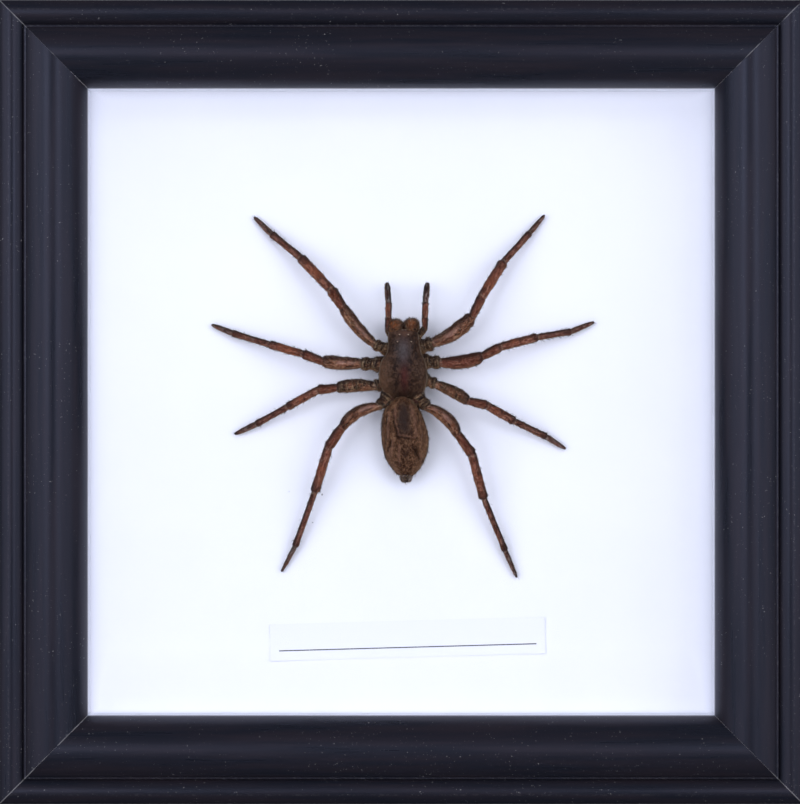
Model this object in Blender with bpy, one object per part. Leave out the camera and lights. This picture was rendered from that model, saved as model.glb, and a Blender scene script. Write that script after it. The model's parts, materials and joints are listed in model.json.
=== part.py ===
"""A dried wolf spider, spread and glued to a white board in a deep black picture frame.

The frame stands upright on its bottom edge. X runs to the right, -Y is the front, +Z is up.
The origin is the middle of the frame's bottom face. Depths are measured backwards from the
frame's front crest, heights on the spider are measured forwards from the mount board.
"""

import math

import bmesh
import bpy
from mathutils import Matrix, Vector

MM = 0.001

# Frame sizes
OUTER = 150.0 * MM
DEPTH = 26.0 * MM
RAIL_WIDTH = 16.2 * MM
RABBET_WIDTH = 3.8 * MM
RABBET_DEPTH = 6.5 * MM
GAP = 0.3 * MM

# Moulding profile, measured inwards from the outer edge and backwards from the crest
BEAD_CENTRE = 2.05 * MM
BEAD_RADIUS = 3.0 * MM
BEAD_CREST = 1.2 * MM
BEAD_WIDTH = 4.5 * MM
TREAD_START = 4.65 * MM
TREAD_END = 5.05 * MM
TREAD_DEPTH = 1.74 * MM
ROUND_CENTRE = 9.5 * MM
ROUND_RADIUS = 7.1 * MM
BEAD_STEPS = 8
OUTER_ROUND_STEPS = 8
INNER_ROUND_STEPS = 12

# Layers in the rabbet, from the glass back to the hanger
GLASS_THICK = 2.0 * MM
SPACER_THICK = 8.8 * MM
SPACER_WIDTH = 3.0 * MM
BOARD_THICK = 3.0 * MM
PANEL_THICK = 2.0 * MM
FILLING_SIZE = OUTER - 2 * (RAIL_WIDTH - RABBET_WIDTH + GAP)
GLASS_FRONT = RABBET_DEPTH + GAP
SPACER_FRONT = GLASS_FRONT + GLASS_THICK + GAP
BOARD_FRONT = SPACER_FRONT + SPACER_THICK + GAP
PANEL_FRONT = BOARD_FRONT + BOARD_THICK + GAP
PANEL_BACK = PANEL_FRONT + PANEL_THICK

# Flexible points that hold the backing
POINT_THICK = 0.4 * MM
POINT_WIDTH = 6.0 * MM
POINT_REACH = 7.0 * MM
POINT_BITE = 2.2 * MM
POINT_SPACING = 70.0 * MM

# Sawtooth hanger and its rivets
HANGER_LENGTH = 42.0 * MM
HANGER_HEIGHT = 9.0 * MM
HANGER_THICK = 0.8 * MM
HANGER_DROP = 24.0 * MM
HANGER_BEND_STEPS = 8
TOOTH_COUNT = 9
TOOTH_PITCH = 2.6 * MM
TOOTH_DEPTH = 1.3 * MM
RIVET_SPACING = 34.0 * MM
RIVET_RADIUS = 0.9 * MM
RIVET_HEAD_RADIUS = 1.9 * MM
RIVET_HEAD_THICK = 0.5 * MM
RIVET_SIDES = 16

# Paper slip below the spider
LABEL_LENGTH = 52.5 * MM
LABEL_HEIGHT = 7.0 * MM
LABEL_THICK = 0.2 * MM
LABEL_RISE = 29.8 * MM
LABEL_SHIFT = 1.2 * MM
LABEL_TILT = math.radians(1.6)

# Spider: half-outlines as (along, left, right, underside, top) in mm. Along runs up the
# frame from its middle, left and right are from the middle, the last two are heights.
CARAPACE = (
    (13.9, 0.3, 0.5, 3.6, 3.9),
    (13.6, -1.9, 2.6, 3.0, 5.0),
    (12.6, -2.5, 3.3, 2.6, 5.9),
    (10.8, -2.5, 3.5, 2.3, 6.5),
    (9.1, -2.9, 3.9, 2.0, 6.6),
    (8.0, -3.7, 4.5, 1.8, 6.4),
    (6.4, -4.2, 4.9, 1.6, 6.2),
    (4.6, -4.3, 5.0, 1.6, 6.0),
    (3.0, -4.0, 4.7, 1.8, 5.4),
    (1.7, -3.2, 4.1, 2.2, 4.6),
    (0.6, -1.9, 2.7, 2.8, 3.8),
    (0.3, 0.3, 0.5, 3.3, 3.5),
)
ABDOMEN = (
    (1.2, 0.4, 0.6, 3.0, 3.4),
    (0.9, -1.4, 1.8, 2.2, 4.6),
    (0.0, -2.7, 2.9, 1.4, 5.6),
    (-1.5, -3.4, 3.7, 0.9, 6.3),
    (-3.4, -3.8, 4.4, 0.5, 6.7),
    (-6.0, -3.9, 5.3, 0.4, 6.8),
    (-8.4, -3.7, 5.4, 0.4, 6.5),
    (-10.4, -3.2, 5.0, 0.6, 5.9),
    (-11.8, -2.5, 4.4, 0.9, 5.3),
    (-13.0, -1.4, 3.4, 1.3, 4.6),
    (-13.9, -0.3, 2.2, 2.0, 3.8),
    (-14.2, 0.9, 1.1, 2.7, 3.1),
)
BODY_SIDES = 24
BODY_RINGS = 16
KNOB_SIDES = 10
KNOB_RINGS = 7

# Dents of the shrunken abdomen as (across, along, radius, depth) in mm
DENTS = (
    (-2.3, -8.6, 1.3, 0.7),
    (3.1, -9.6, 1.6, 0.9),
    (0.4, -6.9, 1.8, 0.4),
    (-2.9, -4.6, 1.2, 0.4),
    (3.6, -4.4, 1.1, 0.5),
)

# Jaws and spinnerets as (across, along, height, half-width, half-length, half-height) in mm
JAWS = (
    (-1.2, 14.3, 3.2, 1.0, 1.5, 1.6),
    (2.1, 14.3, 3.2, 1.2, 1.5, 1.6),
)
SPINNERETS = (
    (0.2, -14.5, 2.6, 0.55, 1.15, 0.6),
    (1.6, -14.5, 2.6, 0.55, 1.15, 0.6),
)

# Legs: joints outwards from the hip as (across, along) in mm, then the widths in mm of
# femur, patella, tibia, metatarsus and tarsus, then the femur's bow to its left in mm
LEGS = {
    "right_1": (((2.6, 10.2), (6.0, 11.2), (13.4, 16.0), (15.2, 19.8), (19.4, 26.6),
                 (24.5, 32.2), (27.3, 35.6)), (2.8, 1.8, 1.9, 1.2, 0.7), -0.5),
    "right_2": (((3.2, 7.7), (7.4, 7.5), (15.3, 8.6), (18.7, 10.4), (25.8, 12.3),
                 (32.3, 13.4), (36.7, 15.2)), (2.6, 1.8, 1.7, 1.2, 0.7), -0.5),
    "right_3": (((3.6, 4.5), (6.6, 3.4), (12.7, 0.2), (16.2, -0.6), (21.4, -3.6),
                 (27.6, -6.6), (31.3, -8.9)), (2.3, 1.8, 1.7, 1.2, 0.8), 0.2),
    "right_4": (((2.2, 2.6), (4.9, -1.0), (10.7, -6.1), (13.4, -9.9), (15.7, -18.3),
                 (19.8, -28.3), (22.0, -33.4)), (2.4, 1.9, 1.8, 1.1, 0.7), 0.9),
    "left_1": (((-1.8, 9.6), (-5.1, 11.0), (-11.1, 18.0), (-13.2, 21.2), (-19.1, 27.4),
                (-24.7, 32.0), (-28.0, 35.2)), (2.4, 2.1, 1.9, 1.3, 0.9), 0.4),
    "left_2": (((-2.8, 7.1), (-7.7, 7.3), (-14.9, 7.7), (-18.6, 9.1), (-25.0, 10.9),
                (-32.1, 13.1), (-36.1, 14.7)), (2.6, 1.8, 1.6, 1.2, 0.8), 0.1),
    "left_3": (((-2.4, 3.9), (-4.9, 3.0), (-12.2, 2.7), (-15.8, 2.3), (-21.6, -0.9),
                (-27.6, -4.2), (-31.7, -6.1)), (2.5, 1.8, 1.6, 1.2, 0.8), -0.3),
    "left_4": (((-2.0, 2.2), (-4.1, -0.8), (-11.3, -4.8), (-13.8, -8.5), (-16.4, -17.0),
                (-20.2, -27.5), (-22.8, -32.3)), (2.3, 2.0, 1.8, 1.1, 0.6), -1.0),
}
HIP_GIRTH = 0.9
LEG_HEIGHTS = (3.3, 3.4, 4.4, 4.2, 2.6, 1.1, 0.5)

PALPS = {
    "left": ((-1.5, 11.4), (-2.6, 13.8), (-2.4, 16.0), (-2.4, 18.9), (-2.7, 22.6)),
    "right": ((2.5, 11.3), (4.5, 14.1), (4.5, 16.0), (4.6, 18.9), (5.0, 22.6)),
}
PALP_WIDTHS = (1.2, 1.2, 1.2, 1.15)
PALP_HEIGHTS = (3.4, 3.7, 3.6, 3.0, 2.0)

# Girth along a limb segment, as (part of its length, part of its full width): a femur is
# thickest in its middle, the segments beyond it at their far ends
FEMUR_GIRTH = ((0.08, 0.72), (0.3, 0.96), (0.65, 1.0), (0.92, 0.82))
SEGMENT_GIRTH = ((0.06, 0.8), (0.3, 0.9), (0.7, 0.95), (0.95, 1.0))
TIP_GIRTH = ((0.06, 1.0), (0.35, 0.95), (0.7, 0.8), (0.97, 0.5))


def clear_scene():
    for old in list(bpy.data.objects):
        bpy.data.objects.remove(old, do_unlink=True)


def new_collection(name):
    collection = bpy.data.collections.new(name)
    bpy.context.scene.collection.children.link(collection)
    return collection


def make_material(name, colour, roughness, metallic=0.0):
    material = bpy.data.materials.new(name)
    material.use_nodes = True
    shader = material.node_tree.nodes["Principled BSDF"]
    shader.inputs["Base Color"].default_value = (*colour, 1.0)
    shader.inputs["Roughness"].default_value = roughness
    shader.inputs["Metallic"].default_value = metallic
    return material


def add_object(name, bm, material, collection):
    """Make a named object from a finished bmesh."""
    mesh = bpy.data.meshes.new(name)
    bmesh.ops.recalc_face_normals(bm, faces=bm.faces)
    bm.to_mesh(mesh)
    bm.free()
    piece = bpy.data.objects.new(name, mesh)
    piece.data.materials.append(material)
    collection.objects.link(piece)
    return piece


def add_box(name, low, high, material, collection):
    """Make a box from its lowest and highest corners."""
    bm = bmesh.new()
    bmesh.ops.create_cube(bm, size=1.0)
    size = Vector(high) - Vector(low)
    bmesh.ops.scale(bm, vec=size, verts=bm.verts)
    bmesh.ops.translate(bm, vec=(Vector(low) + Vector(high)) / 2, verts=bm.verts)
    return add_object(name, bm, material, collection)


def add_cylinder(name, radius, front, back, across, up, material, collection):
    """Make a round pin along Y between two depths."""
    bm = bmesh.new()
    bmesh.ops.create_cone(bm, cap_ends=True, segments=RIVET_SIDES, radius1=radius,
                          radius2=radius, depth=back - front)
    bmesh.ops.rotate(bm, cent=(0, 0, 0), matrix=Matrix.Rotation(math.pi / 2, 3, "X"),
                     verts=bm.verts)
    middle = depth_y((front + back) / 2)
    bmesh.ops.translate(bm, vec=(across, middle, up), verts=bm.verts)
    return add_object(name, bm, material, collection)


def modify(piece, other, operation):
    """Cut or join another object into a piece, and keep the other one as a guide."""
    boolean = piece.modifiers.new(other.name, "BOOLEAN")
    boolean.operation = operation
    boolean.solver = "EXACT"
    boolean.object = other
    other.hide_render = True
    other.display_type = "WIRE"


def depth_y(depth):
    """Y of a depth behind the frame's front crest."""
    return depth - DEPTH / 2


def moulding_profile():
    """Section of the frame moulding as (inwards, depth), from its outer back corner."""
    points = [(0.0, DEPTH)]
    bead_deep = BEAD_CREST + BEAD_RADIUS
    for step in range(BEAD_STEPS + 1):
        inwards = BEAD_WIDTH * step / BEAD_STEPS
        rise = math.sqrt(BEAD_RADIUS ** 2 - (inwards - BEAD_CENTRE) ** 2)
        points.append((inwards, bead_deep - rise))
    points.append((TREAD_START, TREAD_DEPTH))
    points.append((TREAD_END, TREAD_DEPTH))
    first = math.asin((TREAD_END - ROUND_CENTRE) / ROUND_RADIUS)
    last = math.asin((RAIL_WIDTH - ROUND_CENTRE) / ROUND_RADIUS)
    angles = [first * step / OUTER_ROUND_STEPS for step in range(OUTER_ROUND_STEPS, 0, -1)]
    angles += [last * step / INNER_ROUND_STEPS for step in range(INNER_ROUND_STEPS + 1)]
    for angle in angles:
        inwards = ROUND_CENTRE + ROUND_RADIUS * math.sin(angle)
        points.append((inwards, ROUND_RADIUS * (1 - math.cos(angle))))
    points.append((RAIL_WIDTH, RABBET_DEPTH))
    points.append((RAIL_WIDTH - RABBET_WIDTH, RABBET_DEPTH))
    points.append((RAIL_WIDTH - RABBET_WIDTH, DEPTH))
    return points


def cut_mitre(bm, side):
    """Saw a rail's end at 45 degrees and close the cut. Side is -1 for left, 1 for right."""
    normal = Vector((side, 0, 1)).normalized()
    corner = Vector((side * OUTER / 2, 0, 0)) - normal * GAP / 2
    everything = bm.verts[:] + bm.edges[:] + bm.faces[:]
    cut = bmesh.ops.bisect_plane(bm, geom=everything, plane_co=corner, plane_no=normal,
                                 clear_outer=True, dist=1e-7)
    edges = [item for item in cut["geom_cut"] if isinstance(item, bmesh.types.BMEdge)]
    bmesh.ops.edgenet_fill(bm, edges=edges)


def add_rail(name, quarter_turns, material, collection):
    """Extrude the moulding along the bottom edge, mitre it and turn it round the frame."""
    bm = bmesh.new()
    section = [bm.verts.new((-OUTER, depth_y(depth), inwards))
               for inwards, depth in moulding_profile()]
    face = bm.faces.new(section)
    grown = bmesh.ops.extrude_face_region(bm, geom=[face])
    moved = [item for item in grown["geom"] if isinstance(item, bmesh.types.BMVert)]
    bmesh.ops.translate(bm, vec=(2 * OUTER, 0, 0), verts=moved)
    cut_mitre(bm, -1)
    cut_mitre(bm, 1)
    bmesh.ops.rotate(bm, cent=(0, 0, OUTER / 2),
                     matrix=Matrix.Rotation(-quarter_turns * math.pi / 2, 3, "Y"),
                     verts=bm.verts)
    return add_object(name, bm, material, collection)


def add_sheet(name, front, thick, material, collection):
    """Make a square sheet that fills the rabbet."""
    half = FILLING_SIZE / 2
    middle = OUTER / 2
    return add_box(name, (-half, depth_y(front), middle - half),
                   (half, depth_y(front + thick), middle + half), material, collection)


def add_spacers(material, collection):
    """Two full-width strips above and below, and two between them at the sides."""
    front = depth_y(SPACER_FRONT)
    back = depth_y(SPACER_FRONT + SPACER_THICK)
    half = FILLING_SIZE / 2
    middle = OUTER / 2
    inner = half - SPACER_WIDTH
    short = inner - GAP
    add_box("spacer_bottom", (-half, front, middle - half),
            (half, back, middle - inner), material, collection)
    add_box("spacer_top", (-half, front, middle + inner),
            (half, back, middle + half), material, collection)
    add_box("spacer_left", (-half, front, middle - short),
            (-inner, back, middle + short), material, collection)
    add_box("spacer_right", (inner, front, middle - short),
            (half, back, middle + short), material, collection)


def add_label(material, collection):
    """The paper slip, glued a little askew below the spider."""
    bm = bmesh.new()
    bmesh.ops.create_cube(bm, size=1.0)
    bmesh.ops.scale(bm, vec=(LABEL_LENGTH, LABEL_THICK, LABEL_HEIGHT), verts=bm.verts)
    bmesh.ops.rotate(bm, cent=(0, 0, 0), matrix=Matrix.Rotation(-LABEL_TILT, 3, "Y"),
                     verts=bm.verts)
    middle = depth_y(BOARD_FRONT - GAP - LABEL_THICK / 2)
    bmesh.ops.translate(bm, vec=(LABEL_SHIFT, middle, LABEL_RISE), verts=bm.verts)
    return add_object("label_slip", bm, material, collection)


def add_points(rails, material, collection, guides):
    """Two flexible points in each rail, each in its own slot in the rabbet wall."""
    wall = OUTER / 2 - RAIL_WIDTH + RABBET_WIDTH
    front = PANEL_BACK + GAP
    for side, (rail_name, rail) in enumerate(rails.items()):
        for place, shift in (("first", -POINT_SPACING / 2), ("second", POINT_SPACING / 2)):
            name = rail_name.replace("frame", "point") + "_" + place
            turn = Matrix.Rotation(-side * math.pi / 2, 3, "Y")
            slot = add_flat_bar(name + "_slot", shift, wall, front, GAP, turn, material, guides)
            modify(rail, slot, "DIFFERENCE")
            add_flat_bar(name, shift, wall, front, 0.0, turn, material, collection)


def add_flat_bar(name, shift, wall, front, margin, turn, material, collection):
    """A bar across the bottom rabbet wall, grown by a margin for a slot, then turned."""
    bm = bmesh.new()
    bmesh.ops.create_cube(bm, size=1.0)
    size = (POINT_WIDTH + 2 * margin, POINT_THICK + 2 * margin,
            POINT_REACH + POINT_BITE + 2 * margin)
    bmesh.ops.scale(bm, vec=size, verts=bm.verts)
    up = OUTER / 2 - wall + (POINT_REACH - POINT_BITE) / 2
    place = Vector((shift, depth_y(front + POINT_THICK / 2), up))
    bmesh.ops.translate(bm, vec=place, verts=bm.verts)
    bmesh.ops.rotate(bm, cent=(0, 0, OUTER / 2), matrix=turn, verts=bm.verts)
    return add_object(name, bm, material, collection)


def hanger_outline():
    """The hanger's face, round-ended with teeth along its lower edge, as (across, up)."""
    half = HANGER_LENGTH / 2
    bend = HANGER_HEIGHT / 2
    points = []
    for step in range(HANGER_BEND_STEPS + 1):
        angle = math.pi / 2 - math.pi * step / HANGER_BEND_STEPS
        points.append((half - bend + bend * math.cos(angle), bend * math.sin(angle)))
    first = TOOTH_COUNT * TOOTH_PITCH / 2
    for tooth in range(TOOTH_COUNT):
        start = first - tooth * TOOTH_PITCH
        points.append((start, -bend))
        points.append((start - TOOTH_PITCH / 2, -bend + TOOTH_DEPTH))
    points.append((-first, -bend))
    for step in range(HANGER_BEND_STEPS + 1):
        angle = -math.pi / 2 - math.pi * step / HANGER_BEND_STEPS
        points.append((-half + bend + bend * math.cos(angle), bend * math.sin(angle)))
    return points


def add_hanger(panel, material, collection, guides):
    """The sawtooth hanger on the backing, held by two rivets in clearance holes."""
    height = OUTER - RAIL_WIDTH - HANGER_DROP
    front = PANEL_BACK + GAP
    bm = bmesh.new()
    outline = [bm.verts.new((across, depth_y(front), height + up))
               for across, up in hanger_outline()]
    face = bm.faces.new(outline)
    grown = bmesh.ops.extrude_face_region(bm, geom=[face])
    moved = [item for item in grown["geom"] if isinstance(item, bmesh.types.BMVert)]
    bmesh.ops.translate(bm, vec=(0, HANGER_THICK, 0), verts=moved)
    hanger = add_object("hanger", bm, material, collection)
    head_front = front + HANGER_THICK + GAP
    for side, shift in (("left", -RIVET_SPACING / 2), ("right", RIVET_SPACING / 2)):
        hole = add_cylinder("hole_" + side, RIVET_RADIUS + GAP, PANEL_FRONT - GAP,
                            head_front, shift, height, material, guides)
        modify(hanger, hole, "DIFFERENCE")
        modify(panel, hole, "DIFFERENCE")
        shank = add_cylinder("shank_" + side, RIVET_RADIUS, PANEL_FRONT,
                             head_front + RIVET_HEAD_THICK / 2, shift, height, material, guides)
        rivet = add_cylinder("hanger_rivet_" + side, RIVET_HEAD_RADIUS, head_front,
                             head_front + RIVET_HEAD_THICK, shift, height, material, collection)
        modify(rivet, shank, "UNION")


def blend_row(rows, along):
    """Read an outline at one place, with smooth steps between its rows."""
    column = len(rows[0])
    for upper, lower in zip(rows, rows[1:]):
        if along >= lower[0]:
            part = (upper[0] - along) / (upper[0] - lower[0])
            part = min(max(part, 0.0), 1.0)
            return [upper[k] + (lower[k] - upper[k]) * part for k in range(1, column)]
    return list(rows[-1][1:])


def on_board(across, along, height):
    """A point on the spider in mm, placed in the frame in metres."""
    return Vector((across * MM, depth_y(BOARD_FRONT) - height * MM, OUTER / 2 + along * MM))


def add_body(name, rows, dents, material, collection):
    """Draw a ball out along its outline, then press the dents into its back."""
    bm = bmesh.new()
    bmesh.ops.create_uvsphere(bm, u_segments=BODY_SIDES, v_segments=BODY_RINGS, radius=1.0)
    start = rows[0][0]
    end = rows[-1][0]
    for vert in bm.verts:
        ring = math.hypot(vert.co.x, vert.co.y)
        along = (start + end) / 2 + (start - end) / 2 * vert.co.z
        left, right, under, top = blend_row(rows, along)
        across = (left + right) / 2
        height = (under + top) / 2
        if ring > 1e-6:
            across += (right - left) / 2 * vert.co.x / ring
            height += (top - under) / 2 * vert.co.y / ring
        for dent_x, dent_z, radius, deep in dents:
            reach = math.hypot(across - dent_x, along - dent_z) / radius
            if vert.co.y > 0 and reach < 1.0:
                height -= deep * (1 + math.cos(math.pi * reach)) / 2
        vert.co = on_board(across, along, height)
    return add_object(name, bm, material, collection)


def add_knob(name, knob, material, collection):
    """A rounded lump, such as a jaw or a spinneret."""
    across, along, height, half_width, half_length, half_height = knob
    bm = bmesh.new()
    bmesh.ops.create_uvsphere(bm, u_segments=KNOB_SIDES, v_segments=KNOB_RINGS, radius=1.0)
    size = Vector((half_width, half_height, half_length)) * MM
    bmesh.ops.scale(bm, vec=size, verts=bm.verts)
    bmesh.ops.translate(bm, vec=on_board(across, along, height), verts=bm.verts)
    return add_object(name, bm, material, collection)


def limb_stations(joints, widths, heights, bow):
    """Centre line and girth of a limb as (point, radius), swelling within each segment."""
    points = [Vector((joint[0], joint[1], height)) for joint, height in zip(joints, heights)]
    stations = [(points[0], widths[0] / 2 * HIP_GIRTH)]
    for index, width in enumerate(widths):
        start = points[index]
        end = points[index + 1]
        run = end - start
        sideways = Vector((-run.y, run.x, 0)).normalized() * (bow if index == 1 else 0.0)
        girths = SEGMENT_GIRTH
        if index < 2:
            girths = FEMUR_GIRTH
        if index == len(widths) - 1:
            girths = TIP_GIRTH
        for part, girth in girths:
            bend = sideways * 4 * part * (1 - part)
            stations.append((start + run * part + bend, width / 2 * girth))
    return stations


def add_limb(name, stations, material, collection):
    """A tube through the stations, made a mesh with its end caps welded on."""
    curve = bpy.data.curves.new(name + "_line", "CURVE")
    curve.dimensions = "3D"
    curve.bevel_depth = MM
    curve.bevel_resolution = 2
    curve.use_fill_caps = True
    spline = curve.splines.new("POLY")
    spline.points.add(len(stations) - 1)
    for point, (place, radius) in zip(spline.points, stations):
        point.co = (*on_board(place.x, place.y, place.z), 1.0)
        point.radius = radius
    line = bpy.data.objects.new(name + "_line", curve)
    collection.objects.link(line)
    bpy.context.view_layer.update()
    shape = line.evaluated_get(bpy.context.evaluated_depsgraph_get())
    mesh = bpy.data.meshes.new_from_object(shape)
    bm = bmesh.new()
    bm.from_mesh(mesh)
    bmesh.ops.remove_doubles(bm, verts=bm.verts, dist=1e-6)
    bpy.data.objects.remove(line, do_unlink=True)
    bpy.data.meshes.remove(mesh)
    return add_object(name, bm, material, collection)


def add_spider(material, collection, guides):
    """Join the carapace with everything that grows from it."""
    spider = add_body("spider", CARAPACE, (), material, collection)
    grown = [add_body("abdomen", ABDOMEN, DENTS, material, guides)]
    for index, knob in enumerate(JAWS):
        grown.append(add_knob("jaw_" + str(index), knob, material, guides))
    for index, knob in enumerate(SPINNERETS):
        grown.append(add_knob("spinneret_" + str(index), knob, material, guides))
    for name, joints in PALPS.items():
        stations = limb_stations(joints, PALP_WIDTHS, PALP_HEIGHTS, 0.0)
        grown.append(add_limb("palp_" + name, stations, material, guides))
    for name, (joints, widths, bow) in LEGS.items():
        hip_width = widths[0] * HIP_GIRTH
        stations = limb_stations(joints, (hip_width, *widths), LEG_HEIGHTS, bow)
        grown.append(add_limb("leg_" + name, stations, material, guides))
    for part in grown:
        modify(spider, part, "UNION")


def build():
    clear_scene()
    parts = new_collection("framed_wolf_spider")
    guides = new_collection("guides")

    black = make_material("frame_black", (0.012, 0.012, 0.014), 0.38)
    clear = make_material("clear_glass", (0.9, 0.95, 0.95), 0.03)
    white = make_material("white_board", (0.86, 0.89, 0.93), 0.7)
    paper = make_material("label_paper", (0.8, 0.82, 0.86), 0.75)
    brown = make_material("spider_brown", (0.13, 0.06, 0.035), 0.55)
    hardboard = make_material("hardboard_brown", (0.2, 0.12, 0.07), 0.75)
    steel = make_material("zinc_steel", (0.55, 0.55, 0.53), 0.35, 1.0)

    rails = {}
    for quarter, side in enumerate(("bottom", "left", "top", "right")):
        rails["frame_" + side] = add_rail("frame_" + side, quarter, black, parts)
    add_sheet("glass_pane", GLASS_FRONT, GLASS_THICK, clear, parts)
    add_spacers(white, parts)
    add_sheet("mount_board", BOARD_FRONT, BOARD_THICK, white, parts)
    add_label(paper, parts)
    add_spider(brown, parts, guides)
    panel = add_sheet("back_panel", PANEL_FRONT, PANEL_THICK, hardboard, parts)
    add_points(rails, steel, parts, guides)
    add_hanger(panel, steel, parts, guides)


build()
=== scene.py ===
import json
import math

import bmesh
import bpy
import numpy as np
from mathutils import Matrix, Vector, noise

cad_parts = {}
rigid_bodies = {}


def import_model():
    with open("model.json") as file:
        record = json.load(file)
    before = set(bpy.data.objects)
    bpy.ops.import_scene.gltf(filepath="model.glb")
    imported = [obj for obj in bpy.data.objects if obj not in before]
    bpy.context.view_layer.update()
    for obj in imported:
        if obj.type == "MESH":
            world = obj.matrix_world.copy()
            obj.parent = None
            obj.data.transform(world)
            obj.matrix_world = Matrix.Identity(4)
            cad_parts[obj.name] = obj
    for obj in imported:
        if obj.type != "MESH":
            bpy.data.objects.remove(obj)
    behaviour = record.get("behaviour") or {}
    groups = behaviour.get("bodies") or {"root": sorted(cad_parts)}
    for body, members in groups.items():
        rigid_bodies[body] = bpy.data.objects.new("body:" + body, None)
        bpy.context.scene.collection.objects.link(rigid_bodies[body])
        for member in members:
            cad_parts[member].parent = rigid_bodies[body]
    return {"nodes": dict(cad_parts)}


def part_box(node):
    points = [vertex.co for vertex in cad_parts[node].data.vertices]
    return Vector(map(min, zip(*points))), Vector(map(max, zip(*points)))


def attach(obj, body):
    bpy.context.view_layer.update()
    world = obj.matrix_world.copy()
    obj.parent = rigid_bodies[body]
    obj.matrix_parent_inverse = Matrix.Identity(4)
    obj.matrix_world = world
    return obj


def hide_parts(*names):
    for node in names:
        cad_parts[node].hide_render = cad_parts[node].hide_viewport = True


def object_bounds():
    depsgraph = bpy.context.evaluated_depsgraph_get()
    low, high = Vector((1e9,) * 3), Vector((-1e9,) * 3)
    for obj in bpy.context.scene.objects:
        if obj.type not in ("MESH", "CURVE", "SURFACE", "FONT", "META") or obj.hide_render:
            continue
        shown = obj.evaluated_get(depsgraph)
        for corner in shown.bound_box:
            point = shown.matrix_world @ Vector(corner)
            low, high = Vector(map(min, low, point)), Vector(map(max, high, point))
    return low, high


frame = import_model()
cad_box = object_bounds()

# Picture frame
# Four lengths of one wooden moulding, a bead, a narrow fillet and a fat round that falls away
# steeply to the glass. They are sprayed satin black, sawn at 45 degrees, glued at the corners
# and bare on the back and in the rabbet.
MM = 0.001
OUTER = cad_box[1].x - cad_box[0].x
DEPTH = cad_box[1].y - cad_box[0].y
RAIL_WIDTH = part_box("frame_bottom")[1].z
RABBET_WIDTH = 3.8 * MM
RABBET_DEPTH = 6.5 * MM
BEAD_CENTRE = 2.05 * MM
BEAD_RADIUS = 3.0 * MM
BEAD_CREST = 1.2 * MM
BEAD_WIDTH = 4.5 * MM
TREAD_START = 4.65 * MM
TREAD_END = 5.05 * MM
TREAD_DEPTH = 1.74 * MM
ROUND_CENTRE = 9.5 * MM
ROUND_RADIUS = 7.1 * MM
BEAD_STEPS = 20
ROUND_STEPS = 56
MITRE_GAP = 0.02 * MM
EASED_EDGE = 0.12 * MM
PAINT_COLOUR = (0.0066, 0.0072, 0.0108)
PAINT_WARM = (0.0118, 0.0092, 0.0118)
PAINT_REFLECTION = (0.72, 0.75, 1.0)
DUST_COLOUR = (0.24, 0.23, 0.22)
BARE_WOOD_LIGHT = (0.50, 0.36, 0.22)
BARE_WOOD_DARK = (0.34, 0.22, 0.12)
# Where dust has caught in the moulding: (mm inwards, half-width, strength)
DUST_LINES = ((1.75, 0.22, 0.16), (4.78, 0.26, 0.22))


def depth_y(depth):
    """Y of a depth behind the frame's front crest."""
    return cad_box[0].y + depth


def new_material(name):
    """A new material, its node tree and its Principled shader."""
    material = bpy.data.materials.new(name)
    material.use_nodes = True
    return material, material.node_tree, material.node_tree.nodes["Principled BSDF"]


def feed(tree, socket, value):
    """Give a shader socket another socket's value, a number, a vector or a colour."""
    if isinstance(value, bpy.types.NodeSocket):
        tree.links.new(value, socket)
    elif socket.type == "RGBA":
        socket.default_value = (*value, 1.0)
    else:
        socket.default_value = value


def add_node(tree, kind, values=None, **settings):
    """Add a shader node, make its own settings and feed its sockets."""
    node = tree.nodes.new("ShaderNode" + kind)
    for key, value in settings.items():
        setattr(node, key, value)
    for key, value in (values or {}).items():
        feed(tree, node.inputs[key], value)
    return node


def add_ramp(tree, source, stops):
    """A colour ramp on a value, from (place, colour) stops."""
    ramp = add_node(tree, "ValToRGB", {"Fac": source})
    elements = ramp.color_ramp.elements
    while len(elements) < len(stops):
        elements.new(0.5)
    for element, (place, colour) in zip(elements, stops):
        element.position = place
        element.color = (*colour, 1.0)
    return ramp.outputs["Color"]


def add_noise(tree, vector, scale, detail, roughness, distortion=0.0):
    """Noise on a vector, as its value."""
    node = add_node(tree, "TexNoise", {"Vector": vector, "Scale": scale, "Detail": detail,
                                       "Roughness": roughness, "Distortion": distortion})
    return node.outputs["Fac"]


def calculate(tree, operation, *values, clamp=False):
    """One sum on values or sockets."""
    node = add_node(tree, "Math", dict(enumerate(values)), operation=operation, use_clamp=clamp)
    return node.outputs["Value"]


def times(tree, first, *others):
    """Several values or sockets multiplied."""
    for other in others:
        first = calculate(tree, "MULTIPLY", first, other)
    return first


def plus(tree, first, second, clamp=False):
    """Two values or sockets added."""
    return calculate(tree, "ADD", first, second, clamp=clamp)


def apart(tree, first, second):
    """How far apart two values are."""
    return calculate(tree, "ABSOLUTE", calculate(tree, "SUBTRACT", first, second))


def read_between(tree, value, low, high, start=0.0, end=1.0):
    """How far a value has come from low to high, given from start to end."""
    node = add_node(tree, "MapRange", {"Value": value, "From Min": low, "From Max": high,
                                       "To Min": start, "To Max": end})
    return node.outputs["Result"]


def mix_colour(tree, factor, first, second):
    """Blend two colours, either of which may be a socket or a value."""
    node = add_node(tree, "Mix", {0: factor, 6: first, 7: second}, data_type="RGBA")
    return node.outputs[2]


def lay_on(tree, colour, amount, strength, tone):
    """Lay a tone over a colour by an amount, up to a strength."""
    return mix_colour(tree, times(tree, amount, strength), colour, tone)


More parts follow.
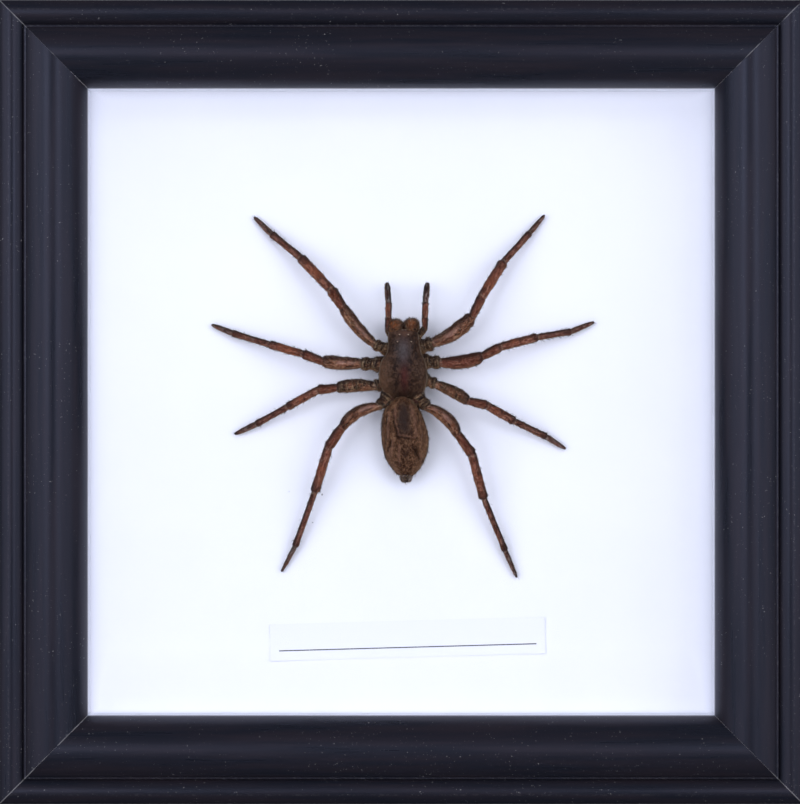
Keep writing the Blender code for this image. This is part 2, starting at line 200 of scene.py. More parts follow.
def finish_shader(tree, shader, colour, roughness, shine=0.5):
    """Give a shader its colour, roughness and strength of reflection."""
    feed(tree, shader.inputs["Base Color"], colour)
    feed(tree, shader.inputs["Roughness"], roughness)
    shader.inputs["Specular IOR Level"].default_value = shine


def add_bump(tree, shader, height, strength, distance):
    """Raise a surface by a height value."""
    node = add_node(tree, "Bump", {"Height": height, "Strength": strength, "Distance": distance})
    tree.links.new(node.outputs["Normal"], shader.inputs["Normal"])


def object_place(tree):
    """The Object coordinates."""
    return add_node(tree, "TexCoord").outputs["Object"]


def read_layer(tree, name, output="Fac"):
    """Values that are stored on the mesh."""
    return add_node(tree, "Attribute", attribute_name=name).outputs[output]


def along_rail(tree, squeeze):
    """A place on a rail in mm, squeezed along its length, so that a pattern runs that way."""
    lane = add_node(tree, "CombineXYZ", {"X": times(tree, read_layer(tree, "along"), squeeze),
                                         "Y": read_layer(tree, "inward")})
    return lane.outputs["Vector"]


def satin_black_paint():
    """Sprayed satin black with a blue cast, uneven along the rails, dust and pale specks."""
    material, tree, shader = new_material("satin_black_paint")
    place = object_place(tree)
    inward = read_layer(tree, "inward")
    streaks = add_noise(tree, along_rail(tree, 0.05), 0.55, 3.0, 0.6)
    specks = add_noise(tree, place, 2400.0, 2.0, 0.6)
    patches = add_noise(tree, place, 120.0, 3.0, 0.6)
    lint = read_between(tree, add_noise(tree, place, 1500.0, 4.0, 0.7), 0.50, 0.66)
    dusty = times(tree, read_between(tree, specks, 0.68, 0.74),
                  read_between(tree, patches, 0.40, 0.58))
    for groove, width, strength in DUST_LINES:
        near = read_between(tree, apart(tree, inward, groove), width, 0.0)
        dusty = plus(tree, dusty, times(tree, near, lint, strength), clamp=True)
    # paint chipped along the mitres
    mitre = calculate(tree, "ABSOLUTE", read_layer(tree, "along"))
    mitre = calculate(tree, "SUBTRACT", OUTER / 2 / MM, mitre)
    mitre = read_between(tree, calculate(tree, "SUBTRACT", mitre, inward), 0.20, 0.02)
    chips = times(tree, mitre, read_between(tree, patches, 0.49, 0.56))
    dusty = plus(tree, dusty, chips, clamp=True)
    colour = add_ramp(tree, streaks, ((0.38, PAINT_COLOUR), (0.62, PAINT_WARM)))
    finish_shader(tree, shader, lay_on(tree, colour, dusty, 0.7, DUST_COLOUR),
                  read_between(tree, streaks, 0.35, 0.65, 0.27, 0.36), 0.34)
    feed(tree, shader.inputs["Specular Tint"], PAINT_REFLECTION)
    grain = plus(tree, add_noise(tree, place, 1500.0, 4.0, 0.6), times(tree, dusty, 1.5))
    add_bump(tree, shader, grain, 0.15, 0.00005)
    return material


def bare_wood():
    """Pale unpainted wood, with grain along the length of each rail."""
    material, tree, shader = new_material("bare_wood")
    grain = add_noise(tree, along_rail(tree, 0.06), 2.2, 5.0, 0.6, 0.6)
    colour = add_ramp(tree, grain, ((0.35, BARE_WOOD_DARK), (0.62, BARE_WOOD_LIGHT)))
    finish_shader(tree, shader, colour, 0.75)
    add_bump(tree, shader, grain, 0.25, 0.0001)
    return material


def line_to(bm, tip, inwards, depth):
    """Carry the moulding's section on in a straight line to a point."""
    grown = bmesh.ops.extrude_vert_indiv(bm, verts=[tip])
    grown["verts"][0].co = (-OUTER, depth_y(depth), inwards)
    return grown["verts"][0]


def arc_to(bm, tip, centre, deep, angle, steps):
    """Carry the section on round a centre."""
    grown = bmesh.ops.spin(bm, geom=[tip], cent=(-OUTER, depth_y(deep), centre),
                           axis=(1, 0, 0), angle=angle, steps=steps)
    return [item for item in grown["geom_last"] if isinstance(item, bmesh.types.BMVert)][0]


def draw_moulding(bm):
    """The moulding's section as a closed loop of edges, from its outer back corner."""
    first = bm.verts.new((-OUTER, depth_y(DEPTH), 0.0))
    bead_deep = BEAD_CREST + BEAD_RADIUS
    start = math.asin(-BEAD_CENTRE / BEAD_RADIUS)
    end = math.asin((BEAD_WIDTH - BEAD_CENTRE) / BEAD_RADIUS)
    tip = line_to(bm, first, 0.0, bead_deep - BEAD_RADIUS * math.cos(start))
    tip = arc_to(bm, tip, BEAD_CENTRE, bead_deep, start - end, BEAD_STEPS)
    tip = line_to(bm, tip, TREAD_START, TREAD_DEPTH)
    tip = line_to(bm, tip, TREAD_END, TREAD_DEPTH)
    start = math.asin((TREAD_END - ROUND_CENTRE) / ROUND_RADIUS)
    end = math.asin((RAIL_WIDTH - ROUND_CENTRE) / ROUND_RADIUS)
    tip = line_to(bm, tip, TREAD_END, ROUND_RADIUS * (1 - math.cos(start)))
    tip = arc_to(bm, tip, ROUND_CENTRE, ROUND_RADIUS, start - end, ROUND_STEPS)
    tip = line_to(bm, tip, RAIL_WIDTH, RABBET_DEPTH)
    tip = line_to(bm, tip, RAIL_WIDTH - RABBET_WIDTH, RABBET_DEPTH)
    tip = line_to(bm, tip, RAIL_WIDTH - RABBET_WIDTH, DEPTH)
    bm.edges.new((tip, first))


def saw_mitre(bm, side):
    """Saw a rail's end at 45 degrees and close the cut. Side is -1 for left, 1 for right."""
    normal = Vector((side, 0, 1)).normalized()
    corner = Vector((side * OUTER / 2, 0, 0)) - normal * MITRE_GAP / 2
    cut = bmesh.ops.bisect_plane(bm, geom=bm.verts[:] + bm.edges[:] + bm.faces[:],
                                 plane_co=corner, plane_no=normal, clear_outer=True, dist=1e-7)
    edges = [item for item in cut["geom_cut"] if isinstance(item, bmesh.types.BMEdge)]
    bmesh.ops.edgenet_fill(bm, edges=edges)


def store_mesh(name, bm, materials):
    """Make a piece from a finished bmesh, its place in its mesh."""
    mesh = bpy.data.meshes.new(name)
    bm.to_mesh(mesh)
    bm.free()
    piece = bpy.data.objects.new(name, mesh)
    for material in materials:
        mesh.materials.append(material)
    bpy.context.scene.collection.objects.link(piece)
    return piece


def make_rail(name, quarter_turns, materials):
    """Run the moulding along the bottom, mitre it, mark its bare sides and turn it round."""
    bm = bmesh.new()
    draw_moulding(bm)
    run = bmesh.ops.extrude_edge_only(bm, edges=bm.edges[:])
    moved = [item for item in run["geom"] if isinstance(item, bmesh.types.BMVert)]
    bmesh.ops.translate(bm, vec=(2 * OUTER, 0, 0), verts=moved)
    corners = [edge for edge in bm.edges
               if abs(edge.verts[0].co.x - edge.verts[1].co.x) > OUTER
               and edge.calc_face_angle(0.0) > math.radians(40)]
    bmesh.ops.bevel(bm, geom=corners, offset=EASED_EDGE, offset_type="OFFSET", segments=3,
                    profile=0.5, affect="EDGES", material=-1, clamp_overlap=True)
    saw_mitre(bm, -1)
    saw_mitre(bm, 1)
    bmesh.ops.recalc_face_normals(bm, faces=bm.faces)
    inward = bm.verts.layers.float.new("inward")
    along = bm.verts.layers.float.new("along")
    for vert in bm.verts:
        vert[inward] = vert.co.z / MM
        vert[along] = vert.co.x / MM
    bare_back = depth_y(DEPTH) - EASED_EDGE
    for face in bm.faces:
        face.smooth = True
        centre = face.calc_center_median()
        in_rabbet = centre.y > depth_y(RABBET_DEPTH) - EASED_EDGE and face.normal.z > 0.5
        under_lip = face.normal.y > 0.7
        if in_rabbet or under_lip or centre.y > bare_back or abs(face.normal.x) > 0.5:
            face.material_index = 1
    bmesh.ops.rotate(bm, cent=(0, 0, OUTER / 2),
                     matrix=Matrix.Rotation(-quarter_turns * math.pi / 2, 3, "Y"),
                     verts=bm.verts)
    rail = store_mesh(name, bm, materials)
    rail.data.set_sharp_from_angle(angle=math.radians(24))
    return rail


def hang(piece, node):
    """Let a piece stand for one of the frame's solids: hide the solid and hang the piece on the
    root body.
    """
    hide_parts(node)
    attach(piece, "root")


rail_materials = (satin_black_paint(), bare_wood())
for quarter, side in enumerate(("bottom", "left", "top", "right")):
    hang(make_rail("moulding_" + side, quarter, rail_materials), "frame_" + side)

# Glass pane
# One sheet of clear 2 mm picture glass with low reflection, laid on the rabbet behind the lip
# of the frame. It throws no visible shade on the board behind it.
GLASS_TINT = (1.0, 1.0, 1.0)
GLASS_IOR = 1.15


def clear_glass():
    """Flat clear glass."""
    material, tree, shader = new_material("picture_glass")
    finish_shader(tree, shader, GLASS_TINT, 0.0)
    shader.inputs["Transmission Weight"].default_value = 1.0
    shader.inputs["IOR"].default_value = GLASS_IOR
    return material


def dress(names, material):
    """Give some of the frame's solids their material."""
    for name in names:
        slots = frame["nodes"][name].data.materials
        slots.clear()
        slots.append(material)


dress(("glass_pane",), clear_glass())
pane = frame["nodes"]["glass_pane"]
pane.visible_shadow = False
pane.visible_diffuse = False
pane.visible_glossy = False

# Spacers and mount board
# White foam board, matt paper on both faces: four strips keep the glass clear of the
# specimen, and the sheet behind them carries it.
BOARD_COLOUR = (0.865, 0.875, 0.925)
BOARD_SHADE = (0.850, 0.862, 0.915)
BOARD_PAINTED_SHADE = (0.30, 0.31, 0.35)


def read_axes(tree, vector):
    """A vector's three parts, as X, Y and Z."""
    return add_node(tree, "SeparateXYZ", {"Vector": vector}).outputs


def white_board():
    """Matt white paper facing with faint cloudiness and fibre, with painted shade beside the
    spacers where the frame's lip shades the board, and a fainter painted shade towards the
    bottom.
    """
    material, tree, shader = new_material("white_board_facing")
    place = object_place(tree)
    clouds = add_noise(tree, place, 45.0, 3.0, 0.55)
    colour = add_ramp(tree, clouds, ((0.35, BOARD_SHADE), (0.6, BOARD_COLOUR)))
    across, _, height = read_axes(tree, place)
    across = calculate(tree, "ABSOLUTE", across)
    # painted shade: the board and spacers grey within a few mm of the sides, where the lip shades
    # them, and a little towards the bottom
    up = apart(tree, height, OUTER / 2)
    painted_shade = calculate(tree, "MAXIMUM", read_between(tree, across, 54.0 * MM, 59.5 * MM),
                      read_between(tree, up, 56.4 * MM, 59.8 * MM))
    painted_shade = times(tree, calculate(tree, "POWER", painted_shade, 3.0), 0.45)
    low = times(tree, read_between(tree, height, 28.0 * MM, 19.0 * MM), 0.12)
    painted_shade = calculate(tree, "MAXIMUM", painted_shade, low)
    finish_shader(tree, shader, mix_colour(tree, painted_shade, colour, BOARD_PAINTED_SHADE), 0.8, 0.2)
    add_bump(tree, shader, add_noise(tree, place, 2500.0, 3.0, 0.6), 0.06, 0.00005)
    return material


dress(("mount_board", "spacer_top", "spacer_bottom", "spacer_left", "spacer_right"),
      white_board())
board_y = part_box("mount_board")[0].y

# Label slip
# A narrow slip of printed paper glued a little askew below the spider, its corners just
# lifting. Its face is blank but for one plain writing line.
LABEL_LENGTH = 52.5 * MM
LABEL_HEIGHT = 7.0 * MM
LABEL_PAPER = 0.1 * MM
LABEL_TILT = math.radians(1.6)
LABEL_LIFT = 0.18 * MM
LABEL_CUTS = (24, 5)
LABEL_COLOUR = (0.825, 0.838, 0.890)
INK_COLOUR = (0.03, 0.03, 0.035)
LINE_HALF_LENGTH = 24.6
LINE_DROP = -1.6
LINE_HALF_WIDTH = 0.13


def label_paper():
    """Thin white paper with one printed line, read in the slip's own millimetres."""
    material, tree, shader = new_material("label_paper")
    slip = read_layer(tree, "slip", "Vector")
    across, up, _ = read_axes(tree, slip)
    level = read_between(tree, apart(tree, up, LINE_DROP),
                         LINE_HALF_WIDTH, LINE_HALF_WIDTH * 0.6)
    ends = read_between(tree, calculate(tree, "ABSOLUTE", across),
                        LINE_HALF_LENGTH, LINE_HALF_LENGTH - 0.1)
    mottle = add_noise(tree, slip, 6.0, 4.0, 0.6)
    ink = times(tree, level, ends, read_between(tree, mottle, 0.2, 0.45))
    finish_shader(tree, shader, mix_colour(tree, ink, LABEL_COLOUR, INK_COLOUR), 0.7)
    add_bump(tree, shader, mottle, 0.05, 0.00005)
    return material


def make_label():
    """A gridded sheet, lifted at its corners, thickened, tilted and laid on the board."""
    bm = bmesh.new()
    bmesh.ops.create_grid(bm, x_segments=LABEL_CUTS[0], y_segments=LABEL_CUTS[1], size=0.5)
    slip = bm.verts.layers.float_vector.new("slip")
    for vert in bm.verts:
        across = vert.co.x * LABEL_LENGTH
        up = vert.co.y * LABEL_HEIGHT
        vert[slip] = (across / MM, up / MM, 0.0)
        corner = abs(2 * vert.co.x) ** 8 * abs(2 * vert.co.y) ** 2
        waver = noise.noise(Vector((across, up, 0.0)) * 120.0) * 0.02 * MM
        vert.co = (across, -LABEL_LIFT * corner + waver, up)
    bmesh.ops.recalc_face_normals(bm, faces=bm.faces)
    if bm.faces[:][0].normal.y > 0:
        bmesh.ops.reverse_faces(bm, faces=bm.faces)
    bmesh.ops.solidify(bm, geom=bm.faces[:], thickness=LABEL_PAPER)
    low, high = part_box("label_slip")
    middle = (low + high) / 2
    bmesh.ops.rotate(bm, cent=(0, 0, 0), matrix=Matrix.Rotation(-LABEL_TILT, 3, "Y"),
                     verts=bm.verts)
    bmesh.ops.translate(bm, vec=(middle.x, board_y - 0.06 * MM - LABEL_PAPER, middle.z),
                        verts=bm.verts)
    return store_mesh("paper_slip", bm, (label_paper(),))


hang(make_label(), "label_slip")

# Head, chest and abdomen
# The dried body of the spider, one natural piece. Its pear-shaped carapace is dusted with
# grey-brown hair, and the abdomen has shrunk into folds as it dried.
SPIDER_MIDDLE = OUTER / 2
# Outlines of the two parts as (along, left, right, underside, top) in mm: along runs up the
# frame from its middle, left and right are from the middle, the last two are heights
CARAPACE = (
    (13.9, 0.3, 0.5, 3.6, 3.9),
    (13.6, -1.9, 2.6, 3.0, 5.0),
    (12.6, -2.5, 3.3, 2.6, 5.9),
    (10.8, -2.5, 3.5, 2.3, 6.5),
    (9.1, -2.9, 3.9, 2.0, 6.6),
    (8.0, -3.7, 4.5, 1.8, 6.4),
    (6.4, -4.2, 4.9, 1.6, 6.2),
    (4.6, -4.3, 5.0, 1.6, 6.0),
    (3.0, -4.0, 4.7, 1.8, 5.4),
    (1.7, -3.2, 4.1, 2.2, 4.6),
    (0.6, -1.9, 2.7, 2.8, 3.8),
    (0.3, 0.3, 0.5, 3.3, 3.5),
)
ABDOMEN = (
    (1.2, 0.2, 0.4, 3.0, 3.4),
    (0.9, -0.8, 1.2, 2.2, 4.6),
    (0.0, -1.9, 2.2, 1.4, 5.6),
    (-1.5, -3.1, 3.4, 0.9, 6.3),
    (-3.4, -3.6, 4.2, 0.5, 6.7),
    (-6.0, -3.7, 5.0, 0.4, 6.8),
    (-8.4, -3.5, 5.1, 0.4, 6.5),
    (-10.4, -3.0, 4.6, 0.6, 5.9),
    (-11.8, -2.3, 4.0, 0.9, 5.3),
    (-13.0, -1.3, 3.2, 1.3, 4.6),
    (-13.9, -0.3, 2.2, 2.0, 3.8),
    (-14.2, 0.9, 1.1, 2.7, 3.1),
)
BODY_SIDES = 160
BODY_RINGS = 130
# Creases and raised folds of the abdomen: (from across, from along, to across, to along,
# width, depth)
CREASES = (
    (-2.0, -7.4, -2.45, -9.3, 0.16, 0.60),
    (2.4, -8.8, 3.4, -10.8, 0.24, 0.60),
    (2.8, -9.0, 3.0, -10.0, 0.45, 0.35),
    (-0.5, -6.6, 1.3, -6.95, 0.22, 0.55),
    (-1.65, -1.4, -1.45, -3.8, 0.16, 0.36),
    (-1.45, -3.8, -0.95, -5.2, 0.16, 0.42),
    (-0.95, -5.2, -0.55, -6.5, 0.16, 0.36),
    (2.3, -1.0, 3.0, -2.2, 0.16, 0.22),
    (3.0, -2.2, 3.3, -4.6, 0.16, 0.30),
    (-2.7, -2.6, -3.0, -7.2, 0.16, 0.30),
    (-3.2, -5.0, -3.1, -9.4, 0.16, 0.30),
    (-2.2, -4.2, -2.3, -7.0, 0.14, 0.25),
    (4.0, -4.6, 4.3, -8.2, 0.20, 0.32),
    (1.9, -7.6, 2.2, -9.0, 0.24, 0.30),
    (0.2, -8.6, 0.5, -11.8, 0.18, 0.25),
    (-1.6, -11.2, 0.4, -12.2, 0.22, 0.30),
    (-1.2, -8.2, -1.4, -10.8, 0.16, 0.26),
)
RAISED = (
    (-1.3, -1.1, -1.15, -3.6, 0.24, 0.26),
    (-1.15, -3.6, -0.55, -5.6, 0.19, 0.40),
    (-0.55, -5.6, -0.25, -6.3, 0.17, 0.40),
    (-0.25, -6.25, 2.4, -6.75, 0.16, 0.36),
    (1.9, -1.0, 2.6, -3.4, 0.30, 0.28),
    (2.6, -3.4, 2.8, -6.4, 0.24, 0.24),
    (-1.7, -7.2, -1.9, -10.0, 0.22, 0.24),
    (-2.3, -2.0, -2.6, -6.6, 0.22, 0.16),
    (3.6, -10.0, 4.0, -11.4, 0.26, 0.22),
    (-0.4, -8.2, -0.5, -12.0, 0.22, 0.16),
)


def on_board(across, along, height):
    """A point on the spider in mm, placed in the frame in metres."""
    return Vector((across * MM, board_y - height * MM, SPIDER_MIDDLE + along * MM))


def read_outline(rows, along):
    """An outline's sides at one place, on a smooth curve through its rows."""
    places = [row[0] for row in rows]
    index = 0
    while index < len(rows) - 2 and along < places[index + 1]:
        index += 1
    step = places[index + 1] - places[index]
    part = min(max((along - places[index]) / step, 0.0), 1.0)
    values = []
    for side in range(1, len(rows[0])):
        slopes = []
        for knot in (index, index + 1):
            before = max(knot - 1, 0)
            after = min(knot + 1, len(rows) - 1)
            rise = rows[after][side] - rows[before][side]
            slopes.append(rise / (places[after] - places[before]))
        start = rows[index][side]
        end = rows[index + 1][side]
        squared = part * part
        cubed = squared * part
        values.append((2 * cubed - 3 * squared + 1) * start
                      + (cubed - 2 * squared + part) * step * slopes[0]
                      + (3 * squared - 2 * cubed) * end
                      + (cubed - squared) * step * slopes[1])
    return values


def line_reach(across, along, line):
    """How near a point is to a fold's line: 1 on it, 0 at its width and beyond."""
    start = Vector(line[0:2])
    run = Vector(line[2:4]) - start
    offset = Vector((across, along)) - start
    part = min(max(offset.dot(run) / run.length_squared, 0.0), 1.0)
    reach = (offset - run * part).length / (2 * line[4])
    return (1 + math.cos(math.pi * min(reach, 1.0))) / 2


def bell(value, centre, width):
    """A smooth hump of height 1 about a place."""
    return math.exp(-((value - centre) / width) ** 2)


def carapace_relief(across, along):
    """Striae from the central pit, a raised head and lumps of the dried shell."""
    pit = Vector((across - 0.35, along - 4.4))
    distance = pit.length
    angle = math.atan2(pit.y, pit.x)
    striae = math.cos(9 * angle + 0.8) * 0.09 * min(distance / 1.5, 1.0)
    striae *= max(0.0, 1 - distance / 5)
    groove = -0.35 * bell(across, 0.35, 0.3) * bell(along, 3.9, 1.1)
    head = 0.0
    for side in (-1, 1):
        edge = (0.35 + side * 0.5, 5.2, 0.35 + side * 3.0, 10.6, 0.5)
        head -= 0.28 * line_reach(across, along, edge)
    lumps = 0.12 * noise.noise(Vector((across, along, 1.0)) * 1.3)
    lumps += 0.05 * noise.noise(Vector((across, along, 2.0)) * 4.0)
    return striae + groove + head + lumps


def waver(across, along):
    """How far the folds of the abdomen stray from straight lines."""
    return (0.22 * noise.noise(Vector((across, along, 5.0)) * 0.9)
            + 0.16 * noise.noise(Vector((across, along, 6.0)) * 2.6))


def wrinkle(across, along):
    """Long meandering wrinkles of the dried skin: 1 in one, 0 between them."""
    strongest = 0.0
    for layer, density in enumerate((0.9, 1.7)):
        sway = waver(across, along) * 2.5
        place = Vector(((across + sway) * density, along * density * 0.42, 11.0 + 7.0 * layer))
        strongest = max(strongest, 1 - abs(noise.noise(place)) / (0.10 + 0.03 * layer))
    return max(strongest, 0.0) * (0.4 + 0.6 * abs(noise.noise(Vector((across, along, 2.0)))) * 2)


def abdomen_relief(across, along):
    """Folds and ridges of the shrunken skin."""
    relief = 0.0
    sway = waver(across, along)
    for crease in CREASES:
        relief -= crease[5] * line_reach(across + sway, along + sway / 2, crease)
    for fold in RAISED:
        relief += fold[5] * line_reach(across + sway, along + sway / 2, fold)
    relief -= 0.12 * wrinkle(across, along)
    place = Vector((across * 1.1, along * 0.45, 3.0))
    relief += 0.18 * noise.noise(place * 1.6)
    relief += 0.08 * abs(noise.noise(place * 3.6))
    relief += 0.06 * noise.noise(Vector((across, along * 0.6, 9.0)) * 5.0)
    return relief


def carapace_marks(across, along):
    """How far each marking of the carapace shows, from 0 to 1: the median stripe, pale rim and
    dark rear, then the painted grey sheen of the head, tan face and ochre sides.
    """
    left, right = read_outline(CARAPACE, along)[:2]
    middle = (left + right) / 2
    half = max((right - left) / 2, 0.1)
    out = abs(across - middle) / half
    stripe = bell(across, 0.6, 0.75) * (0.3 + 0.7 * bell(along, 5.0, 2.2))
    rim = min(max((out - 0.93) / 0.05, 0.0), 1.0)
    rear = min(max((3.4 - along) / 2.4, 0.0), 1.0) * (1 - out * 0.6)
    painted_sheen = bell(across, 0.4, 1.2) * bell(along, 9.6, 2.4)
    face = bell(across, 0.4, 1.9) * bell(along, 13.2, 0.8)
    sides = min(max((out - 0.35) / 0.4, 0.0), 1.0) * min(max((9.5 - along) / 3.0, 0.0), 1.0)
    sides *= 1.0 if across < middle else 0.35
    return (stripe, rim, rear), (painted_sheen, face, sides)


def abdomen_marks(across, along):
    """How far each marking of the abdomen shows, from 0 to 1: the dark heart mark, ochre flanks
    and painted shade in the creases and wrinkles, then the pale folds, dark tail and hairy edge.
    """
    sway = waver(across, along)
    heart = abs((across + sway * 2 - 0.55) / 1.35) ** 3 + ((along + sway * 3 + 3.2) / 3.4) ** 4
    heart = math.exp(-heart)
    tail = bell(across + sway * 2, 1.0, 0.7) * bell(along, -9.2, 1.9)
    left, right = read_outline(ABDOMEN, along)[:2]
    middle = (left + right) / 2
    out = abs(across - middle) / max((right - left) / 2, 0.1)
    flank = min(max(out - 0.35, 0.0) / 0.4, 1.0) * min(max((2.0 - along) / 6.0, 0.3), 1.0)
    if across < middle:
        flank *= 0.3 + 0.7 * min(max((-3.0 - along) / 3.5, 0.0), 1.0)
    # painted shade: the colour darkens along the creases and wrinkles
    crease = max(line_reach(across + sway, along + sway / 2, line) * min(line[5] / 0.5, 1.0)
                 for line in CREASES)
    crease = max(crease, 0.45 * wrinkle(across, along))
    fold = max(line_reach(across + sway, along + sway / 2, line) for line in RAISED)
    return (heart, flank, crease), (fold, tail, out)


def smooth_skin(bm):
    """Turn a skin's faces outwards and shade them smooth."""
    bmesh.ops.recalc_face_normals(bm, faces=bm.faces)
    for face in bm.faces:
        face.smooth = True


def shape_body(rows, relief, marks, roughness):
    """Draw a ball out along its outline, press its relief into the back and mark it."""
    bm = bmesh.new()
    bmesh.ops.create_uvsphere(bm, u_segments=BODY_SIDES, v_segments=BODY_RINGS, radius=1.0)
    mark_layer = bm.verts.layers.float_vector.new("marks")
    more_layer = bm.verts.layers.float_vector.new("more")
    start = rows[0][0]
    end = rows[-1][0]
    for vert in bm.verts:
        ring = math.hypot(vert.co.x, vert.co.y)
        along = (start + end) / 2 + (start - end) / 2 * vert.co.z
        left, right, under, top = read_outline(rows, along)
        across = (left + right) / 2
        height = (under + top) / 2
        facing = 0.0
        if ring > 1e-6:
            facing = vert.co.y / ring
            across += (right - left) / 2 * vert.co.x / ring
            height += (top - under) / 2 * facing
        if facing > 0:
            height += relief(across, along) * min(facing * 2.0, 1.0)
        vert[mark_layer], vert[more_layer] = marks(across, along)
        wobble = noise.noise(Vector((across, along, height)) * 1.4) * roughness
        vert.co = on_board(across * (1 + 0.02 * wobble), along, height + 0.12 * wobble)
    smooth_skin(bm)
    return bm


def stretch(tree, vector, scale):
    """Scale a vector by axis, so that a pattern on it runs along one of them."""
    return add_node(tree, "Mapping", {"Vector": vector, "Scale": scale}).outputs["Vector"]


def spider_skin(name, grain_length, depth, stops, markings, roughness, shine):
    """Dried skin: mottled brown, its own markings over it and a fine wrinkled grain."""
    material, tree, shader = new_material(name)
    place = stretch(tree, object_place(tree), (1.0, 1.0, grain_length))
    broad = add_noise(tree, place, 1200.0, 4.0, 0.6)
    fine = add_noise(tree, place, 3200.0, 3.0, 0.6)
    mottle = plus(tree, times(tree, broad, 0.5), times(tree, fine, 0.5))
    colour = add_ramp(tree, mottle, stops)
    uneven = plus(tree, times(tree, read_between(tree, mottle, 0.38, 0.58), 0.7), 0.5)
    for layer, axis, strength, tone in markings:
        amount = read_axes(tree, read_layer(tree, layer, "Vector"))[axis]
        amount = calculate(tree, "MULTIPLY", times(tree, amount, strength), uneven, clamp=True)
        colour = mix_colour(tree, amount, colour, tone)
    finish_shader(tree, shader, colour, roughness, shine)
    add_bump(tree, shader, mottle, depth, 0.00018)
    return material


carapace_skin = spider_skin(
    "carapace_skin", 0.8, 0.35,
    ((0.42, (0.012, 0.006, 0.004)), (0.50, (0.022, 0.011, 0.006)),
     (0.57, (0.058, 0.030, 0.019))),
    (("more", "Z", 0.75, (0.092, 0.047, 0.026)),
     ("marks", "X", 0.75, (0.064, 0.014, 0.012)),
     # painted sheen: a grey highlight laid into the colour along the head
     ("more", "X", 0.85, (0.066, 0.056, 0.056)),
     ("marks", "Z", 0.9, (0.013, 0.006, 0.003)),
     ("more", "Y", 0.60, (0.086, 0.044, 0.028)),
     ("marks", "Y", 0.7, (0.170, 0.122, 0.080))),
    0.36, 0.05)
abdomen_skin = spider_skin(
    "abdomen_skin", 0.8, 0.5,
    ((0.42, (0.022, 0.009, 0.004)), (0.485, (0.052, 0.022, 0.010)),
     (0.53, (0.082, 0.037, 0.018)), (0.585, (0.150, 0.081, 0.043))),
    (("marks", "Y", 0.58, (0.152, 0.078, 0.042)),
     ("marks", "X", 0.90, (0.020, 0.013, 0.011)),
     ("more", "Y", 0.25, (0.034, 0.022, 0.018)),
     ("more", "X", 0.55, (0.175, 0.088, 0.056)),
     # painted shade in the creases and wrinkles
     ("marks", "Z", 0.72, (0.018, 0.007, 0.005))),
    0.5, 0.04)

DOWNWARDS = (0.0, 0.0, -1.0)
# Every skin is kept for the hairs that are planted on it later: its triangles, the way that
# hair lies there, and which kind of place each corner is.
skins = {}


def read_values(collection, key, width, number=float):
    """One property of every item of a mesh, as rows of an array."""
    values = np.empty(len(collection) * width, dtype=number)
    collection.foreach_get(key, values)
    return values.reshape(-1, width)


def keep_skin(name, piece, flow, kinds=None):
    """Remember a skin's triangles and normals, and the flow and kind of each corner."""
    mesh = piece.data
    mesh.calc_loop_triangles()
    corners = read_values(mesh.loop_triangles, "vertices", 3, np.int32)
    # triangles come in no fixed order, and they are sorted so that each hair keeps its place
    first = corners.argmin(axis=1)[:, None]
    corners = np.take_along_axis(corners, (first + np.arange(3)) % 3, axis=1)
    corners = corners[np.lexsort(corners.T[::-1])]
    if kinds is None:
        kinds = np.zeros(len(mesh.vertices))
    flow = np.broadcast_to(flow, (len(mesh.vertices), 3))
    skins[name] = (read_values(mesh.vertices, "co", 3), corners,
                   read_values(mesh.vertex_normals, "vector", 3), flow, kinds)


def add_body_piece(name, rows, relief, marks, roughness, material, kind_axis):
    """Make one part of the body and hang it on the frame."""
    piece = store_mesh(name, shape_body(rows, relief, marks, roughness), (material,))
    kinds = read_values(piece.data.attributes["more"].data, "vector", 3)
    keep_skin(name, piece, DOWNWARDS, kinds[:, kind_axis])
    hang(piece, "spider")


add_body_piece("spider_carapace", CARAPACE, carapace_relief, carapace_marks, 0.6,
               carapace_skin, 1)
add_body_piece("spider_abdomen", ABDOMEN, abdomen_relief, abdomen_marks, 1.0, abdomen_skin, 2)

# Eyes, jaws and spinnerets
# Eight glassy eyes in three rows on the front of the head, two swollen orange-brown jaws
# below them, and the short spinning fingers at the tip of the abdomen.
UPWARDS = (0.0, 0.0, 1.0)
# The eyes as (across, along, height, radius), the other lumps as (across, along, height,
# half-width, half-length, half-height)
EYES = (
    (-0.31, 12.65, 5.78, 0.26),
    (1.34, 12.65, 5.78, 0.26),
    (-0.71, 11.3, 6.30, 0.22),
    (1.91, 11.3, 6.30, 0.22),
    (-0.55, 13.55, 4.75, 0.16),
    (0.15, 13.62, 4.75, 0.18),
    (0.85, 13.62, 4.75, 0.18),
    (1.55, 13.55, 4.75, 0.16),
)
JAWS = (
    (-1.18, 14.0, 3.3, 1.52, 1.75, 1.8),
    (1.98, 14.1, 3.3, 1.48, 1.75, 1.8),
)
SPINNERETS = (
    (0.25, -14.3, 2.6, 0.48, 0.95, 0.50),
    (1.60, -14.2, 2.6, 0.48, 0.95, 0.50),
    (0.70, -14.7, 3.0, 0.42, 0.72, 0.40),
    (1.20, -14.6, 3.1, 0.40, 0.70, 0.40),
    (0.90, -14.1, 3.5, 0.85, 0.60, 0.40),
)
# The dark flesh between the jaws and on both sides of the waist
FLESH = (
    (0.42, 13.9, 2.6, 1.1, 1.3, 1.3),
    (2.7, -0.1, 2.5, 1.0, 1.5, 1.3),
    (-1.7, 0.2, 2.5, 0.9, 1.3, 1.3),
)
# Crumbs of dried leg lying loose on the board
CRUMBS = (
    (-15.1, -17.7, 0.04, 0.10, 0.20, 0.09),
    (-16.9, -23.0, 0.04, 0.12, 0.08, 0.08),
    (-21.4, -17.1, 0.03, 0.07, 0.07, 0.06),
)


